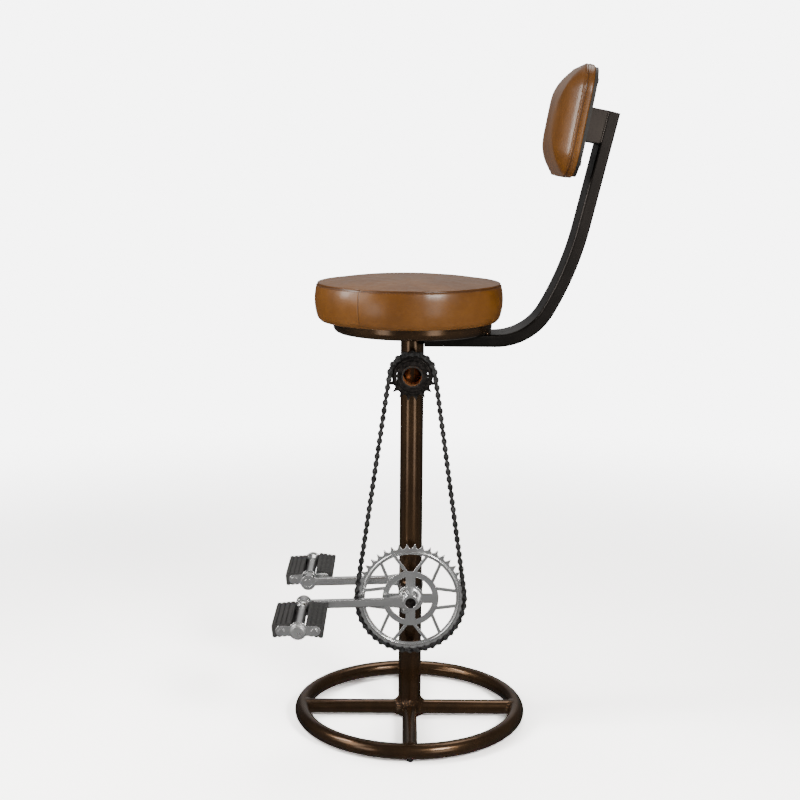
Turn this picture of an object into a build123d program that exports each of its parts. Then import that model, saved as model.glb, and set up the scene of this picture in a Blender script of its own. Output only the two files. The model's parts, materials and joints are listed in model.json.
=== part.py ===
from build123d import *
from build123d.topology import SkipClean
import os
from math import asin, atan2, cos, degrees, hypot, pi, radians, sin, sqrt

# Bar chair with a pedal drive, in millimetres and degrees.
# Origin on the floor under the post, +Z up. The sitter faces -X and the chain is on the -Y side.

# Fits
WELD_GAP = 0.05
RUN_GAP = 0.05
SLACK = 0.25

# Base
BASE_R = 181.3
BASE_TUBE_R = 12.7
BASE_WALL = 2.0
SPOKE_R = 12.0
SPOKE_WALL = 2.0
VENT_R = 5.0
GLIDE_H = 3.3
GLIDE_R = 5.0
GLIDE_RISE = 0.5
GLIDE_STUD_R = 2.5
GLIDE_STUD_LEN = 8.0

# Post
POST_R = 19.0
POST_WALL = 2.5

# Crank bearing
AXLE_Z = 222.0
SHELL_R = 20.0
SHELL_BORE_R = 17.4
SHELL_HALF = 34.0
CUP_DEPTH = 13.0
CUP_FLANGE_T = 3.0
CUP_LIP_T = 4.4
OFF_CUP_OUT = 5.5
LOCK_RING_R = 22.0
LOCK_RING_T = 4.0
AXLE_R = 8.5
AXLE_SHOULDER_R = 10.4
AXLE_LIP_GAP = 0.8
CRANK_BALL_R = 3.175
CRANK_BALLS = 10
CRANK_BALL_INSET = 8.4

# Cranks
CRANK_LENGTH = 175.0
CRANK_DROP = 1.8
EYE_OUT = 69.0
EYE_IN = 44.9
EYE_FRONT_R = 13.0
EYE_BACK_R = 18.0
AXLE_RECESS = 5.0
SPIGOT_R = 14.0
SPIGOT_PROUD = 1.0
ARM_MID = 60.5
ARM_ROOT_X = 8.0
ARM_NECK_X = 40.0
ARM_ROOT_H = 22.0
ARM_ROOT_T = 17.0
ARM_H = 13.0
ARM_T = 13.5
ARM_BEVEL = 2.2
PEDAL_EYE_R = 13.0
PEDAL_EYE_IN = 53.0
PEDAL_EYE_OUT = 70.0

# Cotters
COTTER_R = 4.5
COTTER_BITE = 3.5
COTTER_OUT = 57.0
COTTER_TOP = 17.0
COTTER_BOTTOM = 20.0
COTTER_SEAT = 12.2
COTTER_NUT_AF = 12.0
COTTER_NUT_T = 5.0
COTTER_WASHER_R = 7.0
COTTER_WASHER_T = 1.2

# Chain and wheels
PITCH = 12.7
ROLLER_R = 3.87
ROLLER_W = 3.3
LINK_R = 4.7
LINK_WAIST = 2.6
LINK_T = 1.0
LINK_GAP = 0.1
PIN_R = 1.8
PIN_PROUD = 0.8
CLIP_T = 0.7
CLIP_PROUD = 0.3
CHAIN_Y = -42.0
RING_TEETH = 44
SPROCKET_TEETH = 18
RING_LINKS = 24
SPROCKET_LINKS = 8
RUN_LINKS = 29
JOINING_LINK = -5
WHEEL_T = 2.8
TOOTH_RISE = 3.3
TOOTH_SEAT_GAP = 0.2
TOOTH_SEAT_ANGLE = 65.0
TOOTH_LAND = 1.2

# Chainring pattern
RIM_IN_R = 75.0
BEAD_R = 79.5
BEAD_SECTION_R = 1.6
MID_RING_OUT_R = 46.4
MID_RING_IN_R = 36.7
RING_HUB_R = 22.0
RING_SPOKES = 4
RING_SPOKE_W = 16.0
STRUT_PAIRS = 6
STRUT_W = 5.0
STRUT_RIM_ANGLE = 20.5
STRUT_MID_ANGLE = 8.0
STRUT_SINK = 1.5

# Freewheel
BOSS_R = 17.3
BOSS_BORE_R = 15.0
BOSS_PROUD = 1.5
FREE_BODY_R = 22.3
FREE_FLANGE_R = 24.8
FREE_FLANGE_T = 2.0
FREE_BACK = 7.0
FREE_FRONT = 6.0
FREE_LOCK_T = 2.0
FREE_BALL_R = 1.5
FREE_BALLS = 20
FREE_ROW = 3.2
FREE_SHOULDER_R = 29.4
FREE_RING_BACK = 5.0
FREE_RING_FRONT = 7.0
RATCHET_R = 24.2
RATCHET_W = 3.0
RATCHET_TEETH = 18
RATCHET_NOTCH = 1.2
RATCHET_NOTCH_W = 4.0
PAWL_W = 6.0
PAWL_ROOT_R = 19.5
PAWL_TIP_GAP = 0.4

# Pedals
PEDAL_IN = 77.5
PEDAL_OUT = 190.0
PEDAL_PLATE_T = 2.5
PEDAL_W = 81.0
PEDAL_PLATE_W = 70.0
PEDAL_PLATE_H = 16.0
PEDAL_BOSS_R = 14.5
BLOCK_W = 30.0
BLOCK_H = 21.0
BLOCK_BEVEL = 2.0
GROOVES = 3
GROOVE_W = 2.0
GROOVE_DEPTH = 1.4
BARREL_END_R = 13.0
BARREL_WAIST_R = 8.6
BARREL_BORE_R = 6.6
BARREL_DOME = 9.0
BARREL_NECK = 16.0
BARREL_SPIGOT_R = 11.55
PEDAL_BALL_R = 2.0
PEDAL_BALLS = 10
PEDAL_BALL_INSET = 5.0
PEDAL_CUP_DEPTH = 8.0
SPINDLE_THREAD_R = 7.1
SPINDLE_COLLAR_R = 9.0
SPINDLE_COLLAR_T = 4.5
SPINDLE_R = 5.4
SPINDLE_END_R = 4.5
SPINDLE_END = 3.5
CONE_R = 6.4
CONE_LEN = 6.2
CONE_NUT_AF = 11.0
CONE_NUT_T = 2.8
ROD_R = 2.9
ROD_HEAD_R = 5.0
ROD_HEAD_T = 2.6
ROD_NUT_AF = 9.0
ROD_NUT_T = 3.5
CAP_R = 11.4
CAP_FACE_R = 9.5
CAP_DEPTH = 8.0
CAP_WALL = 1.5
DRIVE_PEDAL_TILT = 0.0
OFF_PEDAL_TILT = -4.0
DRIVE_BLOCK_DROOP = (6.0, 9.0)
OFF_BLOCK_DROOP = (0.0, 12.0)

# Seat
PLATE_OVER_HUB = 66.585
PLATE_R = 128.5
PLATE_H = 18.5
PLATE_T = 2.0
PLATE_CORNER = 10.5
BOARD_BEVEL = 10.2
SEAT_FORWARD = 6.5
SEAT_OVERHANG = 16.0
SEAT_BULGE = 7.8
SEAT_SEAM_OUT = 3.5
SEAT_SIDE_H = 60.5
SEAT_CROWN = 12.0
SEAT_SCREWS = 4
SEAT_SCREW_PLACE_R = 80.0
SEAT_SCREW_R = 3.0
SEAT_SCREW_HEAD_R = 5.5
SEAT_SCREW_HEAD_T = 4.0
SEAT_SCREW_DEPTH = 10.0

# Back arm
BACK_ARM_W = 80.0
BACK_ARM_D = 20.0
BACK_ARM_WALL = 2.0
BACK_ARM_CORNER = 4.0
BEND_START_X = 132.5
BEND_R = 95.0
BEND_TURN = 60.0
SWEEP_R = 500.0
BACK_LEAN = 13.2
BACK_ARM_RISE = 349.9
ARM_CAP_T = 3.0

# Back
BRACKET_H = 52.0
BRACKET_LEN = 29.5
BRACKET_WALL = 3.0
MOUNT_W = 120.0
MOUNT_H = 60.0
MOUNT_T = 4.0
MOUNT_SCREW_Y = 49.0
MOUNT_SCREW_Z = 18.0
PAD_LEAN = 10.5
PAD_W = 250.0
PAD_H = 173.0
PAD_CORNER = 45.0
PAD_RAISE = -0.5
PAD_BOARD_T = 5.0
PAD_BOARD_INSET = 3.0
PAD_BACK_INSET = 1.5
PAD_BAND = 12.0
PAD_DOME = 31.0
PAD_CROWN = ((6.0, 0.20), (15.0, 0.45), (29.0, 0.72), (45.0, 0.89), (62.0, 0.97), (78.0, 1.0))
PAD_SCREW_Y = 100.0
PAD_SCREW_Z = 62.0
BACK_SCREW_R = 2.5
BACK_SCREW_HEAD_R = 4.5
BACK_SCREW_HEAD_T = 2.6

# Worked out from the sizes above
BASE_Z = GLIDE_H + BASE_TUBE_R
POST_BOTTOM = BASE_Z - SPOKE_R
RING_R = PITCH / 2 / sin(pi / RING_TEETH)
SPROCKET_R = PITCH / 2 / sin(pi / SPROCKET_TEETH)
RING_WRAP = pi * RING_LINKS / RING_TEETH
SPROCKET_WRAP = pi * SPROCKET_LINKS / SPROCKET_TEETH
RUN_SIDE = RING_R * sin(RING_WRAP) - SPROCKET_R * sin(SPROCKET_WRAP)
RUN_RISE = sqrt((RUN_LINKS * PITCH) ** 2 - RUN_SIDE ** 2)
WHEEL_CENTRES = RUN_RISE - RING_R * cos(RING_WRAP) - SPROCKET_R * cos(SPROCKET_WRAP)
HUB_Z = AXLE_Z + WHEEL_CENTRES
PLATE_Z = HUB_Z + PLATE_OVER_HUB
CUP_R = SHELL_BORE_R - WELD_GAP
CRANK_BALL_CIRCLE = AXLE_R + RUN_GAP + CRANK_BALL_R
CUP_RACE_R = CRANK_BALL_CIRCLE + CRANK_BALL_R + RUN_GAP
COTTER_X = -(AXLE_R + COTTER_R - COTTER_BITE)
RING_FRONT_Y = CHAIN_Y - WHEEL_T / 2
RING_BACK_Y = CHAIN_Y + WHEEL_T / 2
BLOCK_X = (PEDAL_W - BLOCK_W) / 2
PEDAL_BALL_CIRCLE = CONE_R + RUN_GAP + PEDAL_BALL_R
PEDAL_CUP_R = PEDAL_BALL_CIRCLE + PEDAL_BALL_R + RUN_GAP
CRANK_PLACE = Pos(0, 0, AXLE_Z) * Rot(0, -CRANK_DROP, 0)
PEDAL_PLACE = CRANK_PLACE * Pos(-CRANK_LENGTH, 0, 0) * Rot(0, CRANK_DROP, 0)
SEAT_Z = PLATE_Z + PLATE_H
SEAT_BOTTOM_R = PLATE_R + SEAT_OVERHANG
SEAT_SIDE_R = SEAT_BOTTOM_R + SEAT_BULGE
SEAT_SEAM_R = SEAT_BOTTOM_R + SEAT_SEAM_OUT
SEAT_SEAM_Z = SEAT_Z + SEAT_SIDE_H
BACK_ARM_Z = PLATE_Z - BACK_ARM_D / 2
BACK_ARM_TOP_Z = PLATE_Z + BACK_ARM_RISE


def rod_z(radius, start, end, x=0, y=0):
    """A round bar along Z."""
    bar = Cylinder(radius, end - start, align=(Align.CENTER, Align.CENTER, Align.MIN))
    return Pos(x, y, start) * bar


def rod_y(radius, start, end, x=0, z=0):
    """A round bar along Y."""
    low = min(start, end)
    bar = Cylinder(radius, abs(end - start), align=(Align.CENTER, Align.CENTER, Align.MIN))
    return Pos(x, low, z) * Rot(-90, 0, 0) * bar


def hex_bar(across, length):
    """A hexagon bar along Z from the plane Z = 0."""
    return extrude(RegularPolygon(across / 2, 6, major_radius=False), length)


def turned_y(profile, side=1):
    """A solid turned about the Y axis, from (distance out, radius) corners on one side."""
    corners = [(radius, side * out) for out, radius in profile]
    return revolve(make_face(Polyline(*corners, close=True)), Axis.Y)


def turned_z(edges):
    """A solid turned about the Z axis, from edges in the XZ plane."""
    return revolve(Face(Wire(edges)), Axis.Z)


def flat_y(sketch, thickness):
    """A plate in the XZ plane, centred on Y = 0, from a sketch in the XY plane."""
    return Rot(90, 0, 0) * extrude(sketch, thickness / 2, both=True)


def ball_ring(radius, circle, count, out):
    """Balls on a circle about the Y axis."""
    step = 360 / count
    return [Rot(0, step * n, 0) * Pos(circle, out, 0) * Sphere(radius) for n in range(count)]


def save(name, *pieces):
    """Write one node, made of one or more separate solids."""
    solids = [solid for piece in pieces for solid in piece.solids()]
    node = solids[0] if len(solids) == 1 else Compound(children=solids)
    export_step(node, os.path.join("parts", name + ".step"))


def base_quarter(radius, bore=0):
    """A quarter of the base ring about +X, with tube ends at 45 degrees to each side."""
    section = Circle(radius) - Circle(bore) if bore else Circle(radius)
    return Rot(0, 0, -45) * revolve(Plane.XZ * Pos(BASE_R, BASE_Z) * section, Axis.Z, 90)


def rod_x(radius, length, z):
    """A round bar along +X from the Z axis."""
    return Pos(0, 0, z) * Rot(0, 90, 0) * rod_z(radius, 0, length)


def make_base():
    tube_room = base_quarter(BASE_TUBE_R + WELD_GAP)
    post_room = rod_z(POST_R + WELD_GAP, 0, AXLE_Z)
    spoke = rod_x(SPOKE_R, BASE_R, BASE_Z) - rod_x(SPOKE_R - SPOKE_WALL, BASE_R, BASE_Z)
    spoke = spoke - post_room - tube_room
    quarter = base_quarter(BASE_TUBE_R, BASE_TUBE_R - BASE_WALL) - rod_x(VENT_R, BASE_R, BASE_Z)
    quarter -= rod_z(GLIDE_STUD_R + WELD_GAP, 0, BASE_Z, x=BASE_R)
    glide = rod_z(GLIDE_R, 0, GLIDE_H + GLIDE_RISE, x=BASE_R) - tube_room
    glide += rod_z(GLIDE_STUD_R, GLIDE_H / 2, GLIDE_H + GLIDE_STUD_LEN, x=BASE_R)
    quarters = []
    glides = []
    names = {0: "rear", 90: "off", 180: "front", 270: "drive"}
    for turn, name in names.items():
        place = Rot(0, 0, turn)
        quarters.append(place * quarter)
        glides.append(place * glide)
        save("base_spoke_" + name, place * spoke)
    with SkipClean():
        ring = Part() + quarters
    save("base_ring", ring)
    save("floor_glides", *glides)


def make_post():
    shell_room = rod_y(SHELL_R + WELD_GAP, -SHELL_HALF, SHELL_HALF, z=AXLE_Z)
    bore = rod_z(POST_R - POST_WALL, 0, PLATE_Z)
    save("post_lower", rod_z(POST_R, POST_BOTTOM, AXLE_Z) - bore - shell_room)
    save("post_upper", rod_z(POST_R, AXLE_Z, PLATE_Z) - bore - shell_room)
    shell = rod_y(SHELL_R, -SHELL_HALF, SHELL_HALF, z=AXLE_Z)
    save("crank_shell", shell - rod_y(SHELL_BORE_R, -SHELL_HALF, SHELL_HALF, z=AXLE_Z))


def bearing_cup(out, flange_r, side):
    """A cup screwed into the shell, open inwards, with a lip round the axle."""
    inner = SHELL_HALF - CUP_DEPTH
    lip_r = AXLE_R + AXLE_LIP_GAP
    lip = SHELL_HALF - CUP_LIP_T
    profile = [(inner, CUP_RACE_R), (inner, CUP_R), (SHELL_HALF, CUP_R), (SHELL_HALF, flange_r),
               (SHELL_HALF + out, flange_r), (SHELL_HALF + out, lip_r), (lip, lip_r), (lip, CUP_RACE_R)]
    if flange_r == CUP_R:
        profile = profile[:2] + profile[4:]
    return turned_y(profile, side)


def make_crank_bearing():
    place = Pos(0, 0, AXLE_Z)
    save("drive_cup", place * bearing_cup(CUP_FLANGE_T, SHELL_R, -1))
    save("off_cup", place * bearing_cup(OFF_CUP_OUT, CUP_R, 1))
    lock = [(SHELL_HALF, SHELL_BORE_R), (SHELL_HALF, LOCK_RING_R),
            (SHELL_HALF + LOCK_RING_T, LOCK_RING_R), (SHELL_HALF + LOCK_RING_T, SHELL_BORE_R)]
    save("cup_lock_ring", place * turned_y(lock))
    row = SHELL_HALF - CRANK_BALL_INSET
    balls = []
    for out in (-row, row):
        balls += ball_ring(CRANK_BALL_R, CRANK_BALL_CIRCLE, CRANK_BALLS, out)
    save("crank_balls", *[place * ball for ball in balls])
    end = EYE_OUT - AXLE_RECESS
    shoulder = row - CRANK_BALL_R - SLACK
    axle = rod_y(AXLE_R, -end, end) + rod_y(AXLE_SHOULDER_R, -shoulder, shoulder)
    for side in (-1, 1):
        axle -= rod_z(COTTER_R + WELD_GAP, -COTTER_BOTTOM, COTTER_TOP, x=COTTER_X, y=side * COTTER_OUT)
    save("crank_axle", CRANK_PLACE * axle)


def arm_section(x, middle, height, thickness):
    """A bevelled box section of the crank arm, square to X."""
    half_y = thickness / 2
    half_z = height / 2
    corners = []
    for y, z in ((1, 1), (-1, 1), (-1, -1), (1, -1)):
        along = (x, middle + y * (half_y - ARM_BEVEL), z * half_z)
        up = (x, middle + y * half_y, z * (half_z - ARM_BEVEL))
        corners += [up, along] if y == z else [along, up]
    return Face(Wire(Polyline(*corners, close=True).edges()))


def crank(side):
    """One crank at the axle's centre, with its arm towards -X."""
    eye_in = -RING_FRONT_Y if side < 0 else EYE_IN
    eye = [(eye_in, 0), (eye_in, EYE_BACK_R), (EYE_OUT, EYE_FRONT_R), (EYE_OUT, 0)]
    body = turned_y(eye, side)
    arm = loft([arm_section(-ARM_ROOT_X, side * COTTER_OUT, ARM_ROOT_H, ARM_ROOT_T),
                arm_section(-ARM_NECK_X, side * ARM_MID, ARM_H, ARM_T),
                arm_section(-CRANK_LENGTH, side * ARM_MID, ARM_H, ARM_T)], ruled=True)
    body += arm
    body += rod_y(PEDAL_EYE_R, side * PEDAL_EYE_IN, side * PEDAL_EYE_OUT, x=-CRANK_LENGTH)
    if side < 0:
        body += rod_y(SPIGOT_R, RING_FRONT_Y, RING_BACK_Y + SPIGOT_PROUD)
    body -= rod_y(AXLE_R + WELD_GAP, -EYE_OUT, EYE_OUT)
    body -= rod_y(SPINDLE_THREAD_R + WELD_GAP, -PEDAL_EYE_OUT, PEDAL_EYE_OUT, x=-CRANK_LENGTH)
    cotter_y = side * COTTER_OUT
    body -= rod_z(COTTER_R + WELD_GAP, -COTTER_BOTTOM, COTTER_TOP, x=COTTER_X, y=cotter_y)
    body -= rod_z(COTTER_WASHER_R + SLACK, -EYE_BACK_R, -COTTER_SEAT, x=COTTER_X, y=cotter_y)
    return body


def make_cranks():
    save("drive_crank", CRANK_PLACE * crank(-1))
    save("off_crank", CRANK_PLACE * crank(1))
    washer_bottom = -COTTER_SEAT - COTTER_WASHER_T
    nut_bottom = washer_bottom - COTTER_NUT_T
    pins = []
    nuts = []
    for side in (-1, 1):
        seat = CRANK_PLACE * Pos(COTTER_X, side * COTTER_OUT, 0)
        hole = rod_z(COTTER_R + WELD_GAP, nut_bottom, -COTTER_SEAT)
        pins.append(seat * rod_z(COTTER_R, -COTTER_BOTTOM, COTTER_TOP))
        nuts.append(seat * (rod_z(COTTER_WASHER_R, washer_bottom, -COTTER_SEAT) - hole))
        nuts.append(seat * (Pos(0, 0, nut_bottom) * hex_bar(COTTER_NUT_AF, COTTER_NUT_T) - hole))
    save("cotter_pins", *pins)
    save("cotter_nuts", *nuts)


def polar(radius, angle):
    """A point from its radius and its angle in radians."""
    return (radius * cos(angle), radius * sin(angle))


def toothed_face(teeth):
    """A toothed wheel's outline, with a tooth gap at the top and the bottom."""
    radius = PITCH / 2 / sin(pi / teeth)
    seat_r = ROLLER_R + TOOTH_SEAT_GAP
    tip_r = radius + TOOTH_RISE
    half_gap = pi / teeth - asin(TOOTH_LAND / 2 / tip_r)
    turn = radians(TOOTH_SEAT_ANGLE)
    edges = []
    for tooth in range(teeth):
        middle = pi / 2 + 2 * pi / teeth * tooth
        centre = Vector(*polar(radius, middle))
        first = centre + Vector(*polar(seat_r, middle + pi + turn))
        bottom = centre + Vector(*polar(seat_r, middle + pi))
        last = centre + Vector(*polar(seat_r, middle + pi - turn))
        tip = Vector(*polar(tip_r, middle + half_gap))
        next_tip = Vector(*polar(tip_r, middle + 2 * pi / teeth - half_gap))
        edges.append(Line(Vector(*polar(tip_r, middle - half_gap)), first))
        edges.append(ThreePointArc(first, bottom, last))
        edges.append(Line(last, tip))
        edges.append(Line(tip, next_tip))
    return make_face(edges)


def bar_between(start, end, width):
    """A flat bar from one point to another."""
    length = hypot(end[0] - start[0], end[1] - start[1])
    turn = degrees(atan2(end[1] - start[1], end[0] - start[0]))
    middle = ((start[0] + end[0]) / 2, (start[1] + end[1]) / 2)
    return Pos(*middle) * Rot(0, 0, turn) * Rectangle(length, width)


def make_chainring():
    face = toothed_face(RING_TEETH) - Circle(RIM_IN_R)
    face += Circle(MID_RING_OUT_R) - Circle(MID_RING_IN_R)
    for pair in range(STRUT_PAIRS):
        middle = 360 / STRUT_PAIRS * pair + 90
        for hand in (-1, 1):
            rim = polar(RIM_IN_R + STRUT_SINK, radians(middle + hand * STRUT_RIM_ANGLE))
            ring = polar(MID_RING_OUT_R - STRUT_SINK, radians(middle + hand * STRUT_MID_ANGLE))
            face += bar_between(rim, ring, STRUT_W)
    for spoke in range(RING_SPOKES):
        turn = 2 * pi / RING_SPOKES * spoke
        reach = MID_RING_IN_R + STRUT_SINK
        face += bar_between((0, 0), polar(reach, turn), RING_SPOKE_W)
    face += Circle(RING_HUB_R)
    face -= Circle(SPIGOT_R + WELD_GAP)
    ring = Pos(0, CHAIN_Y, 0) * flat_y(face, WHEEL_T)
    bead = Pos(0, RING_FRONT_Y, 0) * Rot(90, 0, 0) * Torus(BEAD_R, BEAD_SECTION_R)
    bead_cover = rod_y(BEAD_R + BEAD_SECTION_R, CHAIN_Y, RING_FRONT_Y - BEAD_SECTION_R)
    save("chainring", Pos(0, 0, AXLE_Z) * (ring + (bead & bead_cover)))


def chain_pins():
    """The chain's pin centres in the XZ plane, from the lowest one, turning towards +X."""
    half_ring = RING_LINKS // 2
    half_sprocket = SPROCKET_LINKS // 2
    right = []
    for n in range(half_ring + 1):
        turn = 2 * pi / RING_TEETH * n
        right.append((RING_R * sin(turn), AXLE_Z - RING_R * cos(turn)))
    upper = []
    for n in range(half_sprocket, -1, -1):
        turn = 2 * pi / SPROCKET_TEETH * n
        upper.append((SPROCKET_R * sin(turn), HUB_Z + SPROCKET_R * cos(turn)))
    start = right[-1]
    end = upper[0]
    for n in range(1, RUN_LINKS):
        share = n / RUN_LINKS
        right.append((start[0] + share * (end[0] - start[0]), start[1] + share * (end[1] - start[1])))
    right += upper
    left = [(-x, z) for x, z in reversed(right[1:-1])]
    return right + left


def link_face():
    """A waisted link plate from the first pin to the second."""
    waist_r = ((PITCH / 2) ** 2 + LINK_WAIST ** 2 - LINK_R ** 2) / 2 / (LINK_R - LINK_WAIST)
    turn = atan2(waist_r + LINK_WAIST, PITCH / 2)
    x, y = polar(LINK_R, turn)
    middle = PITCH / 2
    edges = [ThreePointArc((x, y), (-LINK_R, 0), (x, -y)),
             ThreePointArc((x, -y), (middle, -LINK_WAIST), (PITCH - x, -y)),
             ThreePointArc((PITCH - x, -y), (PITCH + LINK_R, 0), (PITCH - x, y)),
             ThreePointArc((PITCH - x, y), (middle, LINK_WAIST), (x, y))]
    return make_face(edges)


def link(inner_half, pin_r, pin_half, hole_r):
    """Two link plates and the two round pieces that join them, along +X with its width along Y."""
    plate = extrude(link_face(), LINK_T)
    body = Pos(0, 0, inner_half) * plate + Pos(0, 0, -inner_half - LINK_T) * plate
    for x in (0, PITCH):
        body += Pos(x, 0, 0) * Cylinder(pin_r, 2 * pin_half)
        if hole_r:
            body -= Pos(x, 0, 0) * Cylinder(hole_r, 4 * pin_half)
    return Rot(90, 0, 0) * body


def make_chain():
    roller_half = ROLLER_W / 2
    outer_half = roller_half + LINK_T + LINK_GAP
    pin_half = outer_half + LINK_T + PIN_PROUD
    roller_link = link(roller_half, ROLLER_R, roller_half, PIN_R + RUN_GAP)
    pin_link = link(outer_half, PIN_R, pin_half, 0)
    clip_out = outer_half + LINK_T + CLIP_T / 2
    clip_face = link_face() - Circle(PIN_R + WELD_GAP) - Pos(PITCH, 0) * Circle(PIN_R + WELD_GAP)
    clip_face -= Pos(PITCH / 2, 0) * Rectangle(PITCH, LINK_WAIST)
    clip = Pos(0, -clip_out, 0) * flat_y(clip_face, CLIP_T)
    joining_link = pin_link + Pos(0, -CLIP_PROUD, 0) * rod_y(PIN_R, -pin_half, 0)
    joining_link += Pos(0, -CLIP_PROUD, 0) * rod_y(PIN_R, -pin_half, 0, x=PITCH)
    pins = chain_pins()
    count = len(pins)
    rollers = []
    outers = []
    for n in range(count):
        x, z = pins[n]
        to_x, to_z = pins[(n + 1) % count]
        turn = degrees(atan2(to_z - z, to_x - x))
        place = Pos(x, CHAIN_Y, z) * Rot(0, -turn, 0)
        if n == JOINING_LINK % count:
            save("chain_joining_link", place * joining_link, place * clip)
        elif n % 2:
            outers.append(place * pin_link)
        else:
            rollers.append(place * roller_link)
    save("chain_roller_links", *rollers)
    save("chain_pin_links", *outers)


def make_freewheel():
    place = Pos(0, 0, HUB_Z)
    middle = -CHAIN_Y
    back = middle - FREE_BACK
    front = middle + FREE_FRONT
    lock_front = front + FREE_LOCK_T
    post_room = rod_z(POST_R + WELD_GAP, -PLATE_Z, PLATE_Z)
    tube = rod_y(BOSS_R, -lock_front - BOSS_PROUD, 0) - rod_y(BOSS_BORE_R, -lock_front - BOSS_PROUD, 0)
    save("freewheel_boss", place * (tube - post_room))
    bore_r = BOSS_R + WELD_GAP
    body = turned_y([(back, bore_r), (back, FREE_FLANGE_R), (back + FREE_FLANGE_T, FREE_FLANGE_R),
                     (back + FREE_FLANGE_T, FREE_BODY_R), (front, FREE_BODY_R), (front, bore_r)], -1)
    pocket = Box(PAWL_W + SLACK, RATCHET_W + SLACK, FREE_FLANGE_R, align=(Align.CENTER, Align.CENTER, Align.MIN))
    tip_r = RATCHET_R - PAWL_TIP_GAP
    pawl = Box(PAWL_W, RATCHET_W, FREE_FLANGE_R, align=(Align.CENTER, Align.CENTER, Align.MIN))
    pawl = Pos(0, CHAIN_Y, PAWL_ROOT_R + WELD_GAP) * pawl & rod_y(tip_r, -front, -back)
    pawls = []
    for turn in (0, 180):
        body -= Rot(0, turn, 0) * Pos(0, CHAIN_Y, PAWL_ROOT_R) * pocket
        pawls.append(place * Rot(0, turn, 0) * pawl)
    save("freewheel_body", place * body)
    save("freewheel_pawls", *pawls)
    lock = turned_y([(front, bore_r), (front, FREE_FLANGE_R), (lock_front, FREE_FLANGE_R), (lock_front, bore_r)], -1)
    save("freewheel_lock_ring", place * lock)
    circle = FREE_BODY_R + RUN_GAP + FREE_BALL_R
    race_r = circle + FREE_BALL_R + RUN_GAP
    balls = []
    for row in (-FREE_ROW, FREE_ROW):
        balls += ball_ring(FREE_BALL_R, circle, FREE_BALLS, CHAIN_Y + row)
    save("freewheel_balls", *[place * ball for ball in balls])
    ring_back = middle - FREE_RING_BACK
    ring_front = middle + FREE_RING_FRONT
    half = RATCHET_W / 2
    ring = turned_y([(ring_back, race_r), (ring_back, FREE_SHOULDER_R), (ring_front, FREE_SHOULDER_R),
                     (ring_front, race_r), (middle + half, race_r), (middle + half, RATCHET_R),
                     (middle - half, RATCHET_R), (middle - half, race_r)], -1)
    teeth = toothed_face(SPROCKET_TEETH) - Circle((race_r + FREE_SHOULDER_R) / 2)
    ring += Pos(0, CHAIN_Y, 0) * flat_y(teeth, WHEEL_T)
    notch = Pos(0, CHAIN_Y, RATCHET_R) * Box(RATCHET_NOTCH_W, RATCHET_W, 2 * RATCHET_NOTCH)
    for tooth in range(RATCHET_TEETH):
        ring -= Rot(0, 360 / RATCHET_TEETH * tooth, 0) * notch
    save("freewheel_sprocket", place * ring)


def block(out_start, out_end, droop):
    """A grooved rubber block about its own rod, running along +Y."""
    half_w = BLOCK_W / 2
    half_h = BLOCK_H / 2
    face = Rectangle(BLOCK_W, BLOCK_H)
    face = chamfer(face.vertices(), BLOCK_BEVEL)
    step = BLOCK_W / (GROOVES + 1)
    for n in range(GROOVES):
        x = step * (n + 1) - half_w
        for z in (-half_h, half_h):
            face -= Pos(x, z) * Rectangle(GROOVE_W, 2 * GROOVE_DEPTH)
    face -= Circle(ROD_R + WELD_GAP)
    bar = Rot(-90, 0, 0) * extrude(face, out_end - out_start)
    return Pos(0, out_start, 0) * Rot(0, droop, 0) * bar


def pedal_plate(start):
    """A flat end plate across both rods, with a round middle, on the outside of Y = start."""
    face = SlotOverall(PEDAL_PLATE_W, PEDAL_PLATE_H) + Circle(PEDAL_BOSS_R)
    face -= Circle(BARREL_SPIGOT_R + WELD_GAP)
    for x in (-BLOCK_X, BLOCK_X):
        face -= Pos(x, 0) * Circle(ROD_R + WELD_GAP)
    return Pos(0, start + PEDAL_PLATE_T / 2, 0) * flat_y(face, PEDAL_PLATE_T)


def pedal_barrel():
    """The waisted barrel with a ball cup in each end, along +Y."""
    first = PEDAL_IN + PEDAL_PLATE_T
    last = PEDAL_OUT - PEDAL_PLATE_T
    dome_start = (BARREL_END_R, first)
    dome_end = (BARREL_WAIST_R, first + BARREL_NECK)
    low_dome = (BARREL_END_R, first + BARREL_DOME / 2)
    high_dome = (BARREL_END_R, last - BARREL_DOME / 2)
    edges = [Polyline((PEDAL_CUP_R, PEDAL_IN), (BARREL_SPIGOT_R, PEDAL_IN), (BARREL_SPIGOT_R, first),
                      dome_start, low_dome),
             Spline(low_dome, dome_end, tangents=((0, 1), (0, 1))),
             Line(dome_end, (BARREL_WAIST_R, last - BARREL_NECK)),
             Spline((BARREL_WAIST_R, last - BARREL_NECK), high_dome, tangents=((0, 1), (0, 1))),
             Polyline(high_dome, (BARREL_END_R, last), (BARREL_SPIGOT_R, last), (BARREL_SPIGOT_R, PEDAL_OUT),
                      (PEDAL_CUP_R, PEDAL_OUT), (PEDAL_CUP_R, PEDAL_OUT - PEDAL_CUP_DEPTH),
                      (BARREL_BORE_R, PEDAL_OUT - PEDAL_CUP_DEPTH), (BARREL_BORE_R, PEDAL_IN + PEDAL_CUP_DEPTH),
                      (PEDAL_CUP_R, PEDAL_IN + PEDAL_CUP_DEPTH), (PEDAL_CUP_R, PEDAL_IN))]
    return revolve(make_face(edges), Axis.Y)


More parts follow.
